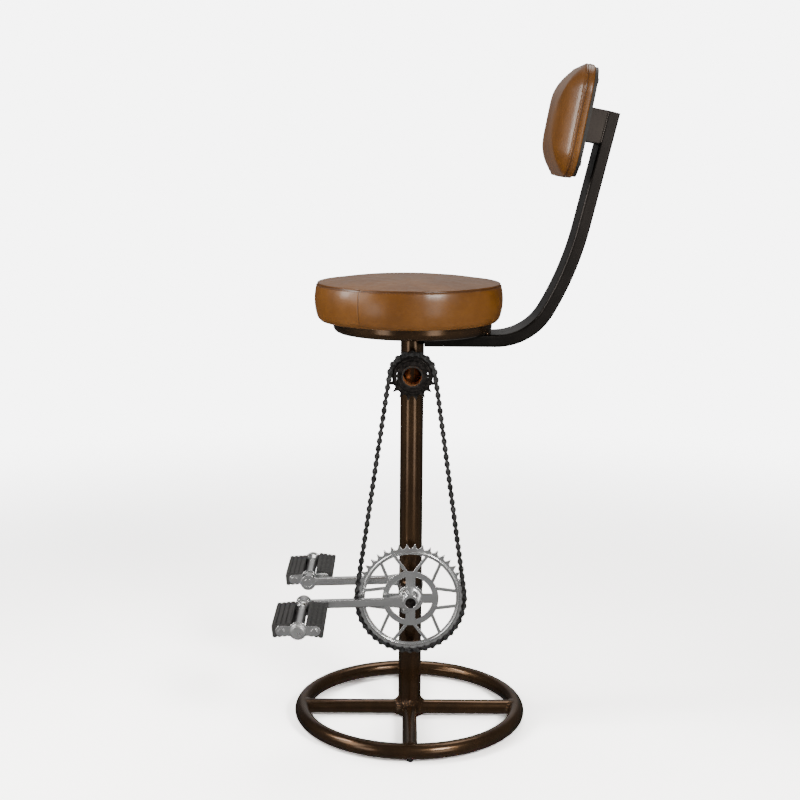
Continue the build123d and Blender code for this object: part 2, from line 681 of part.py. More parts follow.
def make_pedal(name, side, tilt, droops):
    """One pedal along +Y from the crank, mirrored for the drive side."""

    def put(node, *pieces):
        turned = [PEDAL_PLACE * Rot(0, tilt, 0) * piece for piece in pieces]
        save(name + node, *[mirror(piece, Plane.XZ) if side < 0 else piece for piece in turned])

    put("_barrel", pedal_barrel())
    put("_inner_plate", pedal_plate(PEDAL_IN))
    put("_outer_plate", pedal_plate(PEDAL_OUT - PEDAL_PLATE_T))
    first = PEDAL_IN + PEDAL_PLATE_T + WELD_GAP
    last = PEDAL_OUT - PEDAL_PLATE_T - WELD_GAP
    barrel_room = rod_y(BARREL_END_R + SLACK, first, last)
    put("_front_block", Pos(-BLOCK_X, 0, 0) * block(first, last, -droops[0]) - barrel_room)
    put("_rear_block", Pos(BLOCK_X, 0, 0) * block(first, last, droops[1]) - barrel_room)
    rods = []
    for x in (-BLOCK_X, BLOCK_X):
        rod = rod_y(ROD_R, PEDAL_IN, PEDAL_OUT + ROD_NUT_T, x=x)
        rods.append(rod + rod_y(ROD_HEAD_R, PEDAL_IN - ROD_HEAD_T, PEDAL_IN, x=x))
        nut = hex_bar(ROD_NUT_AF, ROD_NUT_T) - rod_z(ROD_R + WELD_GAP, 0, ROD_NUT_T)
        rods.append(Pos(x, PEDAL_OUT, 0) * Rot(-90, 0, 0) * nut)
    put("_rods", *rods)
    cap_end = PEDAL_OUT + CAP_DEPTH
    cap = turned_y([(PEDAL_OUT, CAP_FACE_R - CAP_WALL), (PEDAL_OUT, CAP_R), (PEDAL_OUT + CAP_WALL, CAP_R),
                    (PEDAL_OUT + CAP_WALL, CAP_FACE_R), (cap_end, CAP_FACE_R), (cap_end, 0),
                    (cap_end - CAP_WALL, 0), (cap_end - CAP_WALL, CAP_FACE_R - CAP_WALL)])
    put("_dust_cap", cap)
    balls = []
    for out in (PEDAL_IN + PEDAL_BALL_INSET, PEDAL_OUT - PEDAL_BALL_INSET):
        balls += ball_ring(PEDAL_BALL_R, PEDAL_BALL_CIRCLE, PEDAL_BALLS, out)
    put("_balls", *balls)


def make_spindle(name, side):
    """A pedal spindle screwed into the crank's eye, with its outer cone and lock nut."""
    collar_end = PEDAL_EYE_OUT + SPINDLE_COLLAR_T
    inner_race_end = PEDAL_IN + PEDAL_BALL_INSET + PEDAL_BALL_R
    cone_end = PEDAL_OUT - PEDAL_BALL_INSET + PEDAL_BALL_R + SLACK
    cone_start = cone_end - CONE_LEN
    end = PEDAL_OUT + SPINDLE_END
    spindle = turned_y([(PEDAL_EYE_IN, 0), (PEDAL_EYE_IN, SPINDLE_THREAD_R), (PEDAL_EYE_OUT, SPINDLE_THREAD_R),
                        (PEDAL_EYE_OUT, SPINDLE_COLLAR_R), (collar_end, SPINDLE_COLLAR_R), (collar_end, CONE_R),
                        (inner_race_end, CONE_R), (inner_race_end, SPINDLE_R), (cone_start, SPINDLE_R),
                        (cone_start, SPINDLE_END_R), (end, SPINDLE_END_R), (end, 0)], side)
    save(name + "_spindle", PEDAL_PLACE * spindle)
    bore_r = SPINDLE_END_R + WELD_GAP
    cone = turned_y([(cone_start, bore_r), (cone_start, CONE_R), (cone_end, CONE_R), (cone_end, bore_r)], side)
    nut = hex_bar(CONE_NUT_AF, CONE_NUT_T) - rod_z(bore_r, 0, CONE_NUT_T)
    nut = Pos(0, side * cone_end, 0) * Rot(-90 * side, 0, 0) * nut
    save(name + "_cone_nut", PEDAL_PLACE * cone, PEDAL_PLACE * nut)


def arc_xz(centre, radius, start, end):
    """A round edge in the XZ plane, from one angle to another in degrees."""
    points = []
    for angle in (start, (start + end) / 2, end):
        x, z = polar(radius, radians(angle))
        points.append((centre[0] + x, 0, centre[1] + z))
    return ThreePointArc(*points)


def path_xz(*corners):
    """Straight edges in the XZ plane."""
    return Polyline(*[(x, 0, z) for x, z in corners]).edges()


def make_seat():
    bend_x = PLATE_R - PLATE_CORNER
    bend_z = PLATE_Z + PLATE_CORNER
    inner_corner = PLATE_CORNER - PLATE_T
    plate = turned_z([*path_xz((0, PLATE_Z + PLATE_T), (0, PLATE_Z), (bend_x, PLATE_Z)),
                      arc_xz((bend_x, bend_z), PLATE_CORNER, -90, 0),
                      *path_xz((PLATE_R, bend_z), (PLATE_R, SEAT_Z), (PLATE_R - PLATE_T, SEAT_Z),
                               (PLATE_R - PLATE_T, bend_z)),
                      arc_xz((bend_x, bend_z), inner_corner, 0, -90),
                      *path_xz((bend_x, PLATE_Z + PLATE_T), (0, PLATE_Z + PLATE_T))])
    board_r = PLATE_R - PLATE_T - SLACK
    board_z = PLATE_Z + PLATE_T + WELD_GAP
    board = turned_z(path_xz((0, board_z), (board_r - BOARD_BEVEL, board_z), (board_r, board_z + BOARD_BEVEL),
                             (board_r, SEAT_Z), (0, SEAT_Z), (0, board_z)))
    screws = []
    for n in range(SEAT_SCREWS):
        x, y = polar(SEAT_SCREW_PLACE_R, pi / SEAT_SCREWS * (2 * n + 1))
        top = board_z + SEAT_SCREW_DEPTH
        hole = rod_z(SEAT_SCREW_R + WELD_GAP, PLATE_Z, top, x=x, y=y)
        plate -= hole
        board -= hole
        head = rod_z(SEAT_SCREW_HEAD_R, PLATE_Z - SEAT_SCREW_HEAD_T, PLATE_Z, x=x, y=y)
        screws.append(head + rod_z(SEAT_SCREW_R, PLATE_Z, top, x=x, y=y))
    save("seat_plate", plate)
    save("seat_board", board)
    save("seat_screws", *screws)
    bottom = SEAT_Z + WELD_GAP
    crown_r = (SEAT_SEAM_R ** 2 + SEAT_CROWN ** 2) / 2 / SEAT_CROWN
    half_r = SEAT_SEAM_R / 2
    top = SEAT_SEAM_Z + SEAT_CROWN
    half_z = top - crown_r + sqrt(crown_r ** 2 - half_r ** 2)
    side = ThreePointArc((SEAT_BOTTOM_R, 0, bottom), (SEAT_SIDE_R, 0, (bottom + SEAT_SEAM_Z) / 2),
                         (SEAT_SEAM_R, 0, SEAT_SEAM_Z))
    crown = ThreePointArc((SEAT_SEAM_R, 0, SEAT_SEAM_Z), (half_r, 0, half_z), (0, 0, top))
    cushion = turned_z([*path_xz((0, top), (0, bottom), (SEAT_BOTTOM_R, bottom)), side, crown])
    save("seat_cushion", Pos(-SEAT_FORWARD, 0, 0) * cushion)


def arm_path():
    """The back arm's middle line in the XZ plane: level, two bends, then straight up and back."""
    start = (POST_R + WELD_GAP, BACK_ARM_Z)
    bend_start = (BEND_START_X, BACK_ARM_Z)
    bend_centre = (BEND_START_X, BACK_ARM_Z + BEND_R)
    bend = arc_xz(bend_centre, BEND_R, -90, -90 + BEND_TURN)
    inward = radians(90 + BEND_TURN)
    bend_end = (bend_centre[0] - BEND_R * cos(inward), bend_centre[1] - BEND_R * sin(inward))
    sweep_centre = (bend_end[0] + SWEEP_R * cos(inward), bend_end[1] + SWEEP_R * sin(inward))
    curve = arc_xz(sweep_centre, SWEEP_R, -90 + BEND_TURN, -BACK_LEAN)
    outward = radians(-BACK_LEAN)
    curve_end = (sweep_centre[0] + SWEEP_R * cos(outward), sweep_centre[1] + SWEEP_R * sin(outward))
    rise = BACK_ARM_TOP_Z - curve_end[1]
    top = (curve_end[0] + rise * sin(radians(BACK_LEAN)) / cos(radians(BACK_LEAN)), BACK_ARM_TOP_Z)
    edges = [*path_xz(start, bend_start), bend, curve, *path_xz(curve_end, top)]
    return Wire(edges), top


def make_back():
    path, top = arm_path()
    start = Plane(origin=(POST_R + WELD_GAP, 0, BACK_ARM_Z), x_dir=(0, 1, 0), z_dir=(1, 0, 0))
    tube = sweep(start * RectangleRounded(BACK_ARM_W, BACK_ARM_D, BACK_ARM_CORNER), path)
    inside_w = BACK_ARM_W - 2 * BACK_ARM_WALL
    inside_d = BACK_ARM_D - 2 * BACK_ARM_WALL
    hollow = sweep(start * RectangleRounded(inside_w, inside_d, BACK_ARM_CORNER - BACK_ARM_WALL), path)
    lean = radians(BACK_LEAN)
    front = Vector(-cos(lean), 0, sin(lean))
    up = Vector(sin(lean), 0, cos(lean))
    end = Vector(top[0], 0, top[1])
    cap_plane = Plane(origin=end - up * ARM_CAP_T, x_dir=(0, -1, 0), z_dir=up)
    cap = cap_plane * Box(BACK_ARM_W, BACK_ARM_D, ARM_CAP_T, align=(Align.CENTER, Align.CENTER, Align.MIN))
    save("back_arm", tube - (hollow - cap))

    # Local frame of the back: Z forward from the arm's front face, Y up the pad, X towards -Y.
    origin = end + front * (BACK_ARM_D / 2) - up * (BRACKET_H / 2)
    pad_lean = radians(PAD_LEAN)
    back = Plane(origin=origin, x_dir=(0, -1, 0), z_dir=(-cos(pad_lean), 0, sin(pad_lean)))
    arm_face = Plane(origin=origin + front * WELD_GAP, x_dir=(0, -1, 0), z_dir=front)
    arm_room = arm_face * Box(PAD_W, PAD_H, BRACKET_LEN, align=(Align.CENTER, Align.CENTER, Align.MAX))
    middle = (Align.CENTER, Align.CENTER, Align.MIN)
    sink = BRACKET_H * sin(radians(BACK_LEAN - PAD_LEAN))
    bracket = Pos(0, 0, -sink) * Box(BACK_ARM_W, BRACKET_H, BRACKET_LEN + sink, align=middle)
    inside_h = BRACKET_H - 2 * BRACKET_WALL
    bracket -= Pos(0, 0, -sink) * Box(BACK_ARM_W - 2 * BRACKET_WALL, inside_h, BRACKET_LEN + sink, align=middle)
    save("back_bracket", back * bracket - arm_room)
    mount = Pos(0, 0, BRACKET_LEN) * Box(MOUNT_W, MOUNT_H, MOUNT_T, align=middle)
    board_back = BRACKET_LEN + MOUNT_T
    board_front = board_back + PAD_BOARD_T
    board_w = PAD_W - 2 * PAD_BOARD_INSET
    board_h = PAD_H - 2 * PAD_BOARD_INSET
    board_face = RectangleRounded(board_w, board_h, PAD_CORNER - PAD_BOARD_INSET)
    board = Pos(0, PAD_RAISE, board_back) * extrude(board_face, PAD_BOARD_T)
    screws = []
    for x in (-1, 1):
        for y in (-1, 1):
            spots = [(x * MOUNT_SCREW_Y, y * MOUNT_SCREW_Z, BRACKET_LEN),
                     (x * PAD_SCREW_Y, PAD_RAISE + y * PAD_SCREW_Z, board_back)]
            for spot_x, spot_y, seat in spots:
                hole = rod_z(BACK_SCREW_R + WELD_GAP, seat, board_front, x=spot_x, y=spot_y)
                mount -= hole
                board -= hole
                shank = rod_z(BACK_SCREW_R, seat, board_front, x=spot_x, y=spot_y)
                head = rod_z(BACK_SCREW_HEAD_R, seat - BACK_SCREW_HEAD_T, seat, x=spot_x, y=spot_y)
                screws.append(back * (shank + head))
    save("back_mount_plate", back * mount)
    save("back_board", back * board)
    save("back_screws", *screws)
    cushion_back = board_front + WELD_GAP
    levels = [(PAD_BACK_INSET, cushion_back), (0, board_front + PAD_BAND / 2), (0, board_front + PAD_BAND)]
    for inset, share in PAD_CROWN:
        levels.append((inset, board_front + PAD_BAND + share * PAD_DOME))
    sections = []
    for inset, level in levels:
        width = PAD_W - 2 * inset
        height = PAD_H - 2 * inset
        corner = min(PAD_CORNER, height * PAD_CORNER * 2 / (PAD_H + PAD_CORNER))
        sections.append(Pos(0, PAD_RAISE, level) * RectangleRounded(width, height, corner))
    save("back_cushion", back * loft(sections, ruled=True))


os.makedirs("parts", exist_ok=True)
make_base()
make_post()
make_crank_bearing()
make_cranks()
make_chainring()
make_chain()
make_freewheel()
make_pedal("drive_pedal", -1, DRIVE_PEDAL_TILT, DRIVE_BLOCK_DROOP)
make_pedal("off_pedal", 1, OFF_PEDAL_TILT, OFF_BLOCK_DROOP)
make_spindle("drive_pedal", -1)
make_spindle("off_pedal", 1)
make_seat()
make_back()
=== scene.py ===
"""Bar chair with a pedal drive: leather, welds, finishes, light and camera round the frame, in metres."""
import json
import math

import bpy
import numpy as np
from mathutils import Matrix, Vector


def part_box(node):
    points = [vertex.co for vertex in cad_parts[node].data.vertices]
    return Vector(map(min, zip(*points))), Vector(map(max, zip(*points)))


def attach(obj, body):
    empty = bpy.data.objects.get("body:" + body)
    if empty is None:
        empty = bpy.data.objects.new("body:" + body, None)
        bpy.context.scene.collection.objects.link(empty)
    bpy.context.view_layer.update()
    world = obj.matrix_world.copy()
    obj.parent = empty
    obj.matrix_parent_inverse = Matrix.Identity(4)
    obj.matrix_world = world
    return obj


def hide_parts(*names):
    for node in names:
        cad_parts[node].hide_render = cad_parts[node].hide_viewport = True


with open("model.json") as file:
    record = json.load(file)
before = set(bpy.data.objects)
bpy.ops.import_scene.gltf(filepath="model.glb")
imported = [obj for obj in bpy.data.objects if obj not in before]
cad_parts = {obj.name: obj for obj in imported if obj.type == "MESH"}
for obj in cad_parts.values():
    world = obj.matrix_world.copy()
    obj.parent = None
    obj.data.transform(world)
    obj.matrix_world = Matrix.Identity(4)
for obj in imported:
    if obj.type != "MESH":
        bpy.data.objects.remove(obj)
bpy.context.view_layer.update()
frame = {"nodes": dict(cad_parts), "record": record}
nodes = frame["nodes"]

# Camera, fitted to the photograph
IMAGE_PIXELS = 800
FOCAL_PIXELS = 1390.4
SENSOR = 0.036
CAMERA_AT = Vector((-0.0195, -2.240, 0.950))
CAMERA_TILT = math.radians(10.22)
CAMERA_ROLL = math.radians(0.4)

# Seat leather
SEAT_BOTTOM_TUCK = 0.0078
SEAT_SEAM_TUCK = 0.0043
SEAT_CROWN = 0.012
SEAT_BOTTOM_ROUND = 0.005
SEAT_COLUMNS = 144
# Rows of the seat's skin: shares of the underside's radius, turns round its edge, then the side up to the
# seam and the top in from it, the nearest ones in halves of the seam's groove and lip
SEAT_UNDER_SHARES = (0.03, 0.3, 0.55, 0.75, 0.87)
SEAT_ROUND_TURNS = (0, 22, 45, 68)
SEAT_SIDE_ROWS = 11
SEAT_SIDE_TO = 8
SEAT_BELOW_SEAM = (6.0, 3.0, 1.6, 0.8)
SEAT_PAST_SEAM = (0.0, 0.5, 1.0, 1.5, 2.2, 3.4, 5.2)
SEAT_TOP_ROWS = 22
SEAT_TOP_FROM = 0.014
SEAT_TOP_TO = 0.97
# The groove's middle below the seam and its reach, in halves of the groove, and the lip's reach in halves of
# the lip
SEAT_GROOVE_AT = 1.2
SEAT_GROOVE_REACH = 2
SEAT_LIP_REACH = 1.6
# The lip's share of the painted shade along the seat's seam
SEAT_LIP_SHADE = 0.5
SEAT_STITCHES_BELOW = 3
SEAT_HELD_ROWS = 2
SEAT_SEAM_TURN = math.radians(-31.0)
SEAM_LIP = 0.0011
SEAM_LIP_HALF = 0.0016
SEAM_GROOVE = 0.0010
SEAM_GROOVE_HALF = 0.0011
SIDE_SEAM_COLUMNS = (-0.006, -0.0026, -0.0011, 0.0, 0.0011, 0.0026, 0.006)
SIDE_SEAM_STEP = 0.0007
SIDE_SEAM_OVERLAP = 0.6
STITCH_PITCH = 0.0046
STITCH_LENGTH = 0.0032
STITCH_R = 0.00042
STITCH_AROUND = 6
STITCH_SPOTS = 5
STITCH_AHEAD = 0.001
STITCH_TAPER = 0.96
STITCH_LEAST = 0.02
STITCH_RISE = 0.55
STITCH_DIVE = 1.1

# Back leather
PAD_CORNER = 0.045
PAD_BAND = 0.012
PAD_FLAT_FROM = 0.078
PAD_CROWN_POWER = 2.75
PAD_COLUMNS = 168
PAD_BACK_ROUND = 0.003
PAD_LEAN = math.radians(10.5)
# Rows of the back's skin: shares of the rear face and turns round its edge, heights on the band as shares of
# it, and insets from the seam
PAD_REAR_SHARES = (0.03, 0.35, 0.65, 0.86, 0.94)
PAD_ROUND_TURNS = (0, 30, 60, 90)
PAD_BAND_SHARES = (0.42, 0.62, 0.76, 0.86, 0.94)
PAD_SEAM_INSETS = (0.0, 0.0008, 0.0018, 0.003, 0.0048, 0.0075)
PAD_FRONT_ROWS = 22
PAD_FRONT_FROM = 0.011
PAD_FRONT_TO = 0.485
PAD_GROOVE_AT = 1.1
PAD_GROOVE_REACH = 1.8
PAD_LIP_IN = 0.0012
PAD_LIP_REACH = 0.0018
PAD_LIP_OUT = 0.6
# The lip's share of the painted shade along the back's seam
PAD_LIP_SHADE = 0.4
PAD_STITCHES_BELOW = 4

# Stuffing
CLOTH_FRAMES = 20
CLOTH_PRESSURE = 20.0
CLOTH_QUALITY = 6
CLOTH_MASS = 0.3
CLOTH_STRETCH = 18
CLOTH_SHEAR = 6
CLOTH_BEND = 2.5
CLOTH_CAP = 3  # times the slack
SEAT_SLACK = 0.0035
PAD_SLACK = 0.004
PUCKER = 0.00028
PUCKER_FADE = 0.011
PUCKER_WAVES = (23, 37, 53, 71, 97)
GRAIN_SEED = 7

# Welds
WELD_LEG = 0.0062
BOSS_WELD_LEG = 0.0030
SHELL_WELD_LEG = 0.0040
PLATE_BEAD_R = 0.0032
BRACKET_BEAD_R = 0.0030
BRACKET_BEAD_IN = 0.0027
BRACKET_BEAD_BACK = 0.0012
WELD_STEPS = 96
WELD_ACROSS = 8
WELD_RIPPLE = 0.00022
WELD_RIPPLE_PITCH = 0.0034
WELD_SINK = 0.0012
WELD_WRAP = 0.985
WELD_LEG_RIPPLES = 6
WELD_TO_EDGE = 0.35
WELD_TO_CORNER = 0.3
COLLAR_RIPPLE = 0.08
BEAD_AROUND = 10
BEAD_SWELL = 0.09
BEAD_END = 0.02
BEAD_RIPPLE_STEPS = 4
BEAD_LEAST_STEPS = 12
PLATE_BEAD_OFF_POST = 0.008
PLATE_BEAD_OFF_RIM = 0.012
PLATE_BEAD_ASIDE = 0.0004
LIP_BEADS = 5
LIP_BEAD_IN = 0.0045
LIP_BEAD_SHORT = 0.003
LIP_BEAD_RISE = 0.0012
BRACKET_REAR_SHARE = 0.3
PLATE_BEAD_SEED = 3
LIP_BEAD_SEED = 11
BRACKET_BEAD_SEED = 23

# Studio
FLOOR_R = 12.0
FLOOR_SEGMENTS = 96
FLOOR_FADE_FROM = 0.7
FLOOR_FADE_TO = 2.6
FLOOR_SHOWN = (4.6, 4.6, 4.6)
BACKDROP = 6.5
STUDIO_NEAR = 0.22
STUDIO_BACK = (-0.25, 0.7)
# Behind the chair the light changes to either side and upwards: from here, to there, light here, light there
STUDIO_ASIDE = (0.10, 0.40, 0.41, 0.10)
STUDIO_RISE = (0.05, 0.15, 0.45, 1.0)

# Rounding of edges where they catch the light
BEVEL_SAMPLES = 6
STEEL_EDGE = 0.0012
PAINT_EDGE = 0.0010
CHAIN_EDGE = 0.0004


def new_object(name, points, faces):
    mesh = bpy.data.meshes.new(name)
    mesh.from_pydata([tuple(p) for p in points], [], faces)
    mesh.validate()
    mesh.polygons.foreach_set("use_smooth", [True] * len(mesh.polygons))
    obj = bpy.data.objects.new(name, mesh)
    bpy.context.scene.collection.objects.link(obj)
    return obj


def ring_faces(rings, columns, first=0):
    """Quads between neighbouring closed rings of points."""
    faces = []
    for i in range(rings - 1):
        for j in range(columns):
            k = (j + 1) % columns
            a = first + i * columns
            b = a + columns
            faces.append((a + j, a + k, b + k, b + j))
    return faces


def ring_object(name, rings):
    """A closed skin through rings of points, with a middle point at each end."""
    count, columns, _ = rings.shape
    points = list(rings.reshape(-1, 3))
    faces = ring_faces(count, columns)
    for row, flip in ((0, True), (count - 1, False)):
        middle = len(points)
        points.append(rings[row].mean(0))
        for j in range(columns):
            k = (j + 1) % columns
            edge = (row * columns + j, row * columns + k)
            faces.append((edge[1], edge[0], middle) if flip else (edge[0], edge[1], middle))
    return new_object(name, points, faces)


def point_values(obj, name, values):
    attribute = obj.data.attributes.new(name, "FLOAT", "POINT")
    padded = np.zeros(len(obj.data.vertices), np.float32)
    padded[:len(values)] = values
    attribute.data.foreach_set("value", padded)


def inflate(obj, pinned, cap):
    """Where a sewn skin's points go when it is blown up between its pinned ones, none by more than cap."""
    start = np.array([v.co for v in obj.data.vertices])
    group = obj.vertex_groups.new(name="sewn")
    group.add([int(i) for i in np.nonzero(pinned)[0]], 1.0, "REPLACE")
    cloth = obj.modifiers.new("stuffing", "CLOTH")
    settings = cloth.settings
    settings.quality = CLOTH_QUALITY
    settings.mass = CLOTH_MASS
    settings.tension_stiffness = CLOTH_STRETCH
    settings.compression_stiffness = CLOTH_STRETCH
    settings.shear_stiffness = CLOTH_SHEAR
    settings.bending_stiffness = CLOTH_BEND
    settings.vertex_group_mass = "sewn"
    settings.use_pressure = True
    settings.uniform_pressure_force = CLOTH_PRESSURE
    settings.effector_weights.gravity = 0
    cloth.collision_settings.use_collision = False
    cloth.point_cache.frame_start = 1
    cloth.point_cache.frame_end = CLOTH_FRAMES
    scene = bpy.context.scene
    for step in range(1, CLOTH_FRAMES + 1):
        scene.frame_set(step)
    graph = bpy.context.evaluated_depsgraph_get()
    moved = np.array([v.co for v in obj.evaluated_get(graph).data.vertices])
    obj.modifiers.remove(cloth)
    obj.vertex_groups.remove(group)
    scene.frame_set(1)
    shift = moved - start
    length = np.linalg.norm(shift, axis=1, keepdims=True)
    return start + shift * np.minimum(1, cap / np.maximum(length, 1e-9))


def set_points(obj, points):
    obj.data.vertices.foreach_set("co", np.asarray(points, np.float64).ravel())
    obj.data.update()


def set_skin(obj, points, seam_shade):
    """Move a skin with a middle point at each end to its last place, store where its seams get painted shade
    and smooth it.
    """
    set_points(obj, np.vstack((points.reshape(-1, 3), points[0].mean(0), points[-1].mean(0))))
    point_values(obj, "seam_shade", seam_shade.ravel())
    smooth = obj.modifiers.new("smooth", "SUBSURF")
    smooth.levels = 1
    smooth.render_levels = 1


def puckers(turn, seed):
    """A fine uneven wave round a seam, from -1 to 1."""
    rng = np.random.default_rng(seed)
    wave = np.zeros_like(turn)
    for count in PUCKER_WAVES:
        wave += rng.uniform(0.4, 1.0) * np.sin(count * turn + rng.uniform(0, 2 * math.pi))
    return wave / np.abs(wave).max()


def wrapped(turn):
    """A turn brought to within half a circle of 0."""
    return (turn + math.pi) % (2 * math.pi) - math.pi


def bump_between(distance, half):
    """1 on a line, falling smoothly to 0 at half a width from it."""
    share = np.clip(np.abs(distance) / half, 0, 1)
    return 0.5 + 0.5 * np.cos(math.pi * share)


def seat_profile(side_r, bottom_z, top_z):
    """The seat skin's rows of radius and height, from underside to top, and the seam's radius and height."""
    bottom_r = side_r - SEAT_BOTTOM_TUCK
    seam_r = side_r - SEAT_SEAM_TUCK
    seam_z = top_z - SEAT_CROWN
    rows = [(share * bottom_r, bottom_z) for share in SEAT_UNDER_SHARES]
    for angle in np.radians(SEAT_ROUND_TURNS):
        rows.append((bottom_r - SEAT_BOTTOM_ROUND * (1 - math.sin(angle)),
                     bottom_z + SEAT_BOTTOM_ROUND * (1 - math.cos(angle))))
    middle_z = (bottom_z + seam_z) / 2
    bow = side_r - max(bottom_r, seam_r)
    below = SEAM_GROOVE_HALF * np.array(SEAT_BELOW_SEAM)
    side_to = seam_z - SEAT_SIDE_TO * SEAM_GROOVE_HALF
    side_zs = np.linspace(bottom_z + SEAT_BOTTOM_ROUND, side_to, SEAT_SIDE_ROWS)
    heights = np.concatenate((side_zs, seam_z - below))
    for z in heights:
        share = (z - bottom_z) / (seam_z - bottom_z)
        chord = bottom_r + share * (seam_r - bottom_r)
        lift = 1 - ((z - middle_z) / (seam_z - middle_z)) ** 2
        rows.append((chord + lift * (bow + (bottom_r < seam_r) * (seam_r - bottom_r) / 2), z))
    crown_r = (seam_r ** 2 + SEAT_CROWN ** 2) / 2 / SEAT_CROWN
    crown_z = top_z - crown_r
    inward = np.concatenate((SEAM_LIP_HALF * np.array(SEAT_PAST_SEAM),
                             np.linspace(SEAT_TOP_FROM, SEAT_TOP_TO * seam_r, SEAT_TOP_ROWS)))
    for step in inward:
        r = seam_r - step
        rows.append((r, crown_z + math.sqrt(crown_r ** 2 - r ** 2)))
    return np.array(rows), seam_r, seam_z


def make_seat_leather():
    low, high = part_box("seat_cushion")
    centre = np.array(((low.x + high.x) / 2, (low.y + high.y) / 2))
    side_r = (high.x - low.x) / 2
    rows, seam_r, seam_z = seat_profile(side_r, low.z, high.z)
    first_top = int(np.argmin(np.abs(rows[:, 0] - seam_r) + np.abs(rows[:, 1] - seam_z)))
    turns = list(np.linspace(-math.pi, math.pi, SEAT_COLUMNS, endpoint=False))
    seams = (SEAT_SEAM_TURN, SEAT_SEAM_TURN + math.pi)
    reach = SIDE_SEAM_COLUMNS[-1] / side_r + math.pi / SEAT_COLUMNS
    turns = [t for t in turns if all(abs(wrapped(t - s)) > reach for s in seams)]
    for s in seams:
        turns += [wrapped(s + step / side_r) for step in SIDE_SEAM_COLUMNS]
    turns = np.sort(np.array(turns))
    out = np.stack((np.sin(turns), -np.cos(turns), np.zeros_like(turns)), 1)

    slack = np.zeros(len(rows))
    number = np.arange(len(rows))
    side = (rows[:, 1] > low.z + SEAT_BOTTOM_ROUND) & (number < first_top)
    slack[side] = np.sin(math.pi * (rows[side, 1] - low.z) / (seam_z - low.z))
    top = number > first_top
    slack[top] = 1 - (rows[top, 0] / seam_r) ** 2
    start = rows.copy()
    start[side, 0] -= SEAT_SLACK * slack[side]
    start[top, 1] -= SEAT_SLACK * slack[top]

    def skin(profile):
        rings = profile[:, None, 0:1] * out[None] + np.array((0, 0, 1)) * profile[:, None, 1:2]
        rings[:, :, :2] += centre
        return rings

    obj = ring_object("seat_leather", skin(start))
    count = len(rows) * len(turns)
    near_seam = np.abs(number - first_top) <= SEAT_HELD_ROWS
    flat = rows[:, 1] <= low.z + SEAT_BOTTOM_ROUND
    pinned = np.zeros(len(obj.data.vertices), bool)
    pinned[:count] = np.repeat(near_seam | flat, len(turns))
    pinned[count] = True
    blown = inflate(obj, pinned, CLOTH_CAP * SEAT_SLACK)[:count].reshape(len(rows), len(turns), 3)
    rest = skin(start)
    fill = np.where(top, high.z - blown[:, :, 2].max(), side_r - reach_from(blown, centre)) / SEAT_SLACK
    points = blown + (skin(rows) - rest) * fill[:, None, None]

    points = points.reshape(len(rows), len(turns), 3)
    above = rows[:, 1] - seam_z
    groove = bump_between(above + SEAT_GROOVE_AT * SEAM_GROOVE_HALF, SEAT_GROOVE_REACH * SEAM_GROOVE_HALF)
    groove *= number < first_top
    lip = bump_between(seam_r - rows[:, 0] - SEAM_LIP_HALF, SEAT_LIP_REACH * SEAM_LIP_HALF)
    lip *= number >= first_top
    points -= out[None] * (SEAM_GROOVE * groove)[:, None, None]
    points[:, :, 2] += (SEAM_LIP * lip)[:, None]
    wave = puckers(turns, GRAIN_SEED)
    fade = np.exp(-np.abs(above) / PUCKER_FADE) * side
    points += out[None] * (PUCKER * fade[:, None] * wave[None])[:, :, None]
    # Painted shade: the leather is to be darkened in the seam's groove and, less, on its lip
    seam_shade = np.repeat(np.maximum(groove, SEAT_LIP_SHADE * lip), len(turns)).reshape(len(rows), len(turns))
    for s in seams:
        off = wrapped(turns - s) * side_r
        dip = bump_between(off, SIDE_SEAM_COLUMNS[-3])
        step = np.where(off > 0, np.exp(-off / SIDE_SEAM_COLUMNS[-1]), 0)
        rise = SIDE_SEAM_STEP * (SIDE_SEAM_OVERLAP * step - dip)
        points += out[None] * (side[:, None] * rise[None])[:, :, None]
        # The side seams' dips get the painted shade too
        seam_shade = np.maximum(seam_shade, side[:, None] * dip[None])
    set_skin(obj, points, seam_shade)
    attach(obj, "frame")
    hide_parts("seat_cushion")
    return obj, points[first_top - SEAT_STITCHES_BELOW], centre


def reach_from(rings, centre):
    """How far rings of points reach out from an upright axis."""
    return np.linalg.norm(rings[:, :, :2] - centre, axis=2).max()


def make_stitches(name, line, normals):
    """Short rounded threads laid end to end along a closed line of points."""
    closed = np.vstack((line, line[:1]))
    legs = np.linalg.norm(np.diff(closed, axis=0), axis=1)
    travel = np.concatenate(((0,), np.cumsum(legs)))
    number = int(travel[-1] / STITCH_PITCH)
    points = []
    faces = []
    spots = np.linspace(-1, 1, STITCH_SPOTS)
    closed_normals = np.vstack((normals, normals[:1]))
    for n in range(number):
        at = n * travel[-1] / number
        centre = np.array([np.interp(at, travel, closed[:, c]) for c in range(3)])
        next_at = (at + STITCH_AHEAD) % travel[-1]
        ahead = np.array([np.interp(next_at, travel, closed[:, c]) for c in range(3)])
        forward = (ahead - centre) / np.linalg.norm(ahead - centre)
        outward = np.array([np.interp(at, travel, closed_normals[:, c]) for c in range(3)])
        outward /= np.linalg.norm(outward)
        across = np.cross(forward, outward)
        first = len(points)
        for spot in spots:
            radius = STITCH_R * math.sqrt(max(1 - STITCH_TAPER * spot ** 2, STITCH_LEAST))
            dip = STITCH_R * (STITCH_RISE - STITCH_DIVE * spot ** 2)
            for j in range(STITCH_AROUND):
                angle = 2 * math.pi * j / STITCH_AROUND
                points.append(centre + forward * (spot * STITCH_LENGTH / 2) + outward * dip
                              + radius * (math.cos(angle) * outward + math.sin(angle) * across))
        faces += ring_faces(STITCH_SPOTS, STITCH_AROUND, first)
        faces.append(tuple(first + j for j in reversed(range(STITCH_AROUND))))
        last = first + (STITCH_SPOTS - 1) * STITCH_AROUND
        faces.append(tuple(last + j for j in range(STITCH_AROUND)))
    obj = new_object(name, points, faces)
    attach(obj, "frame")
    return obj


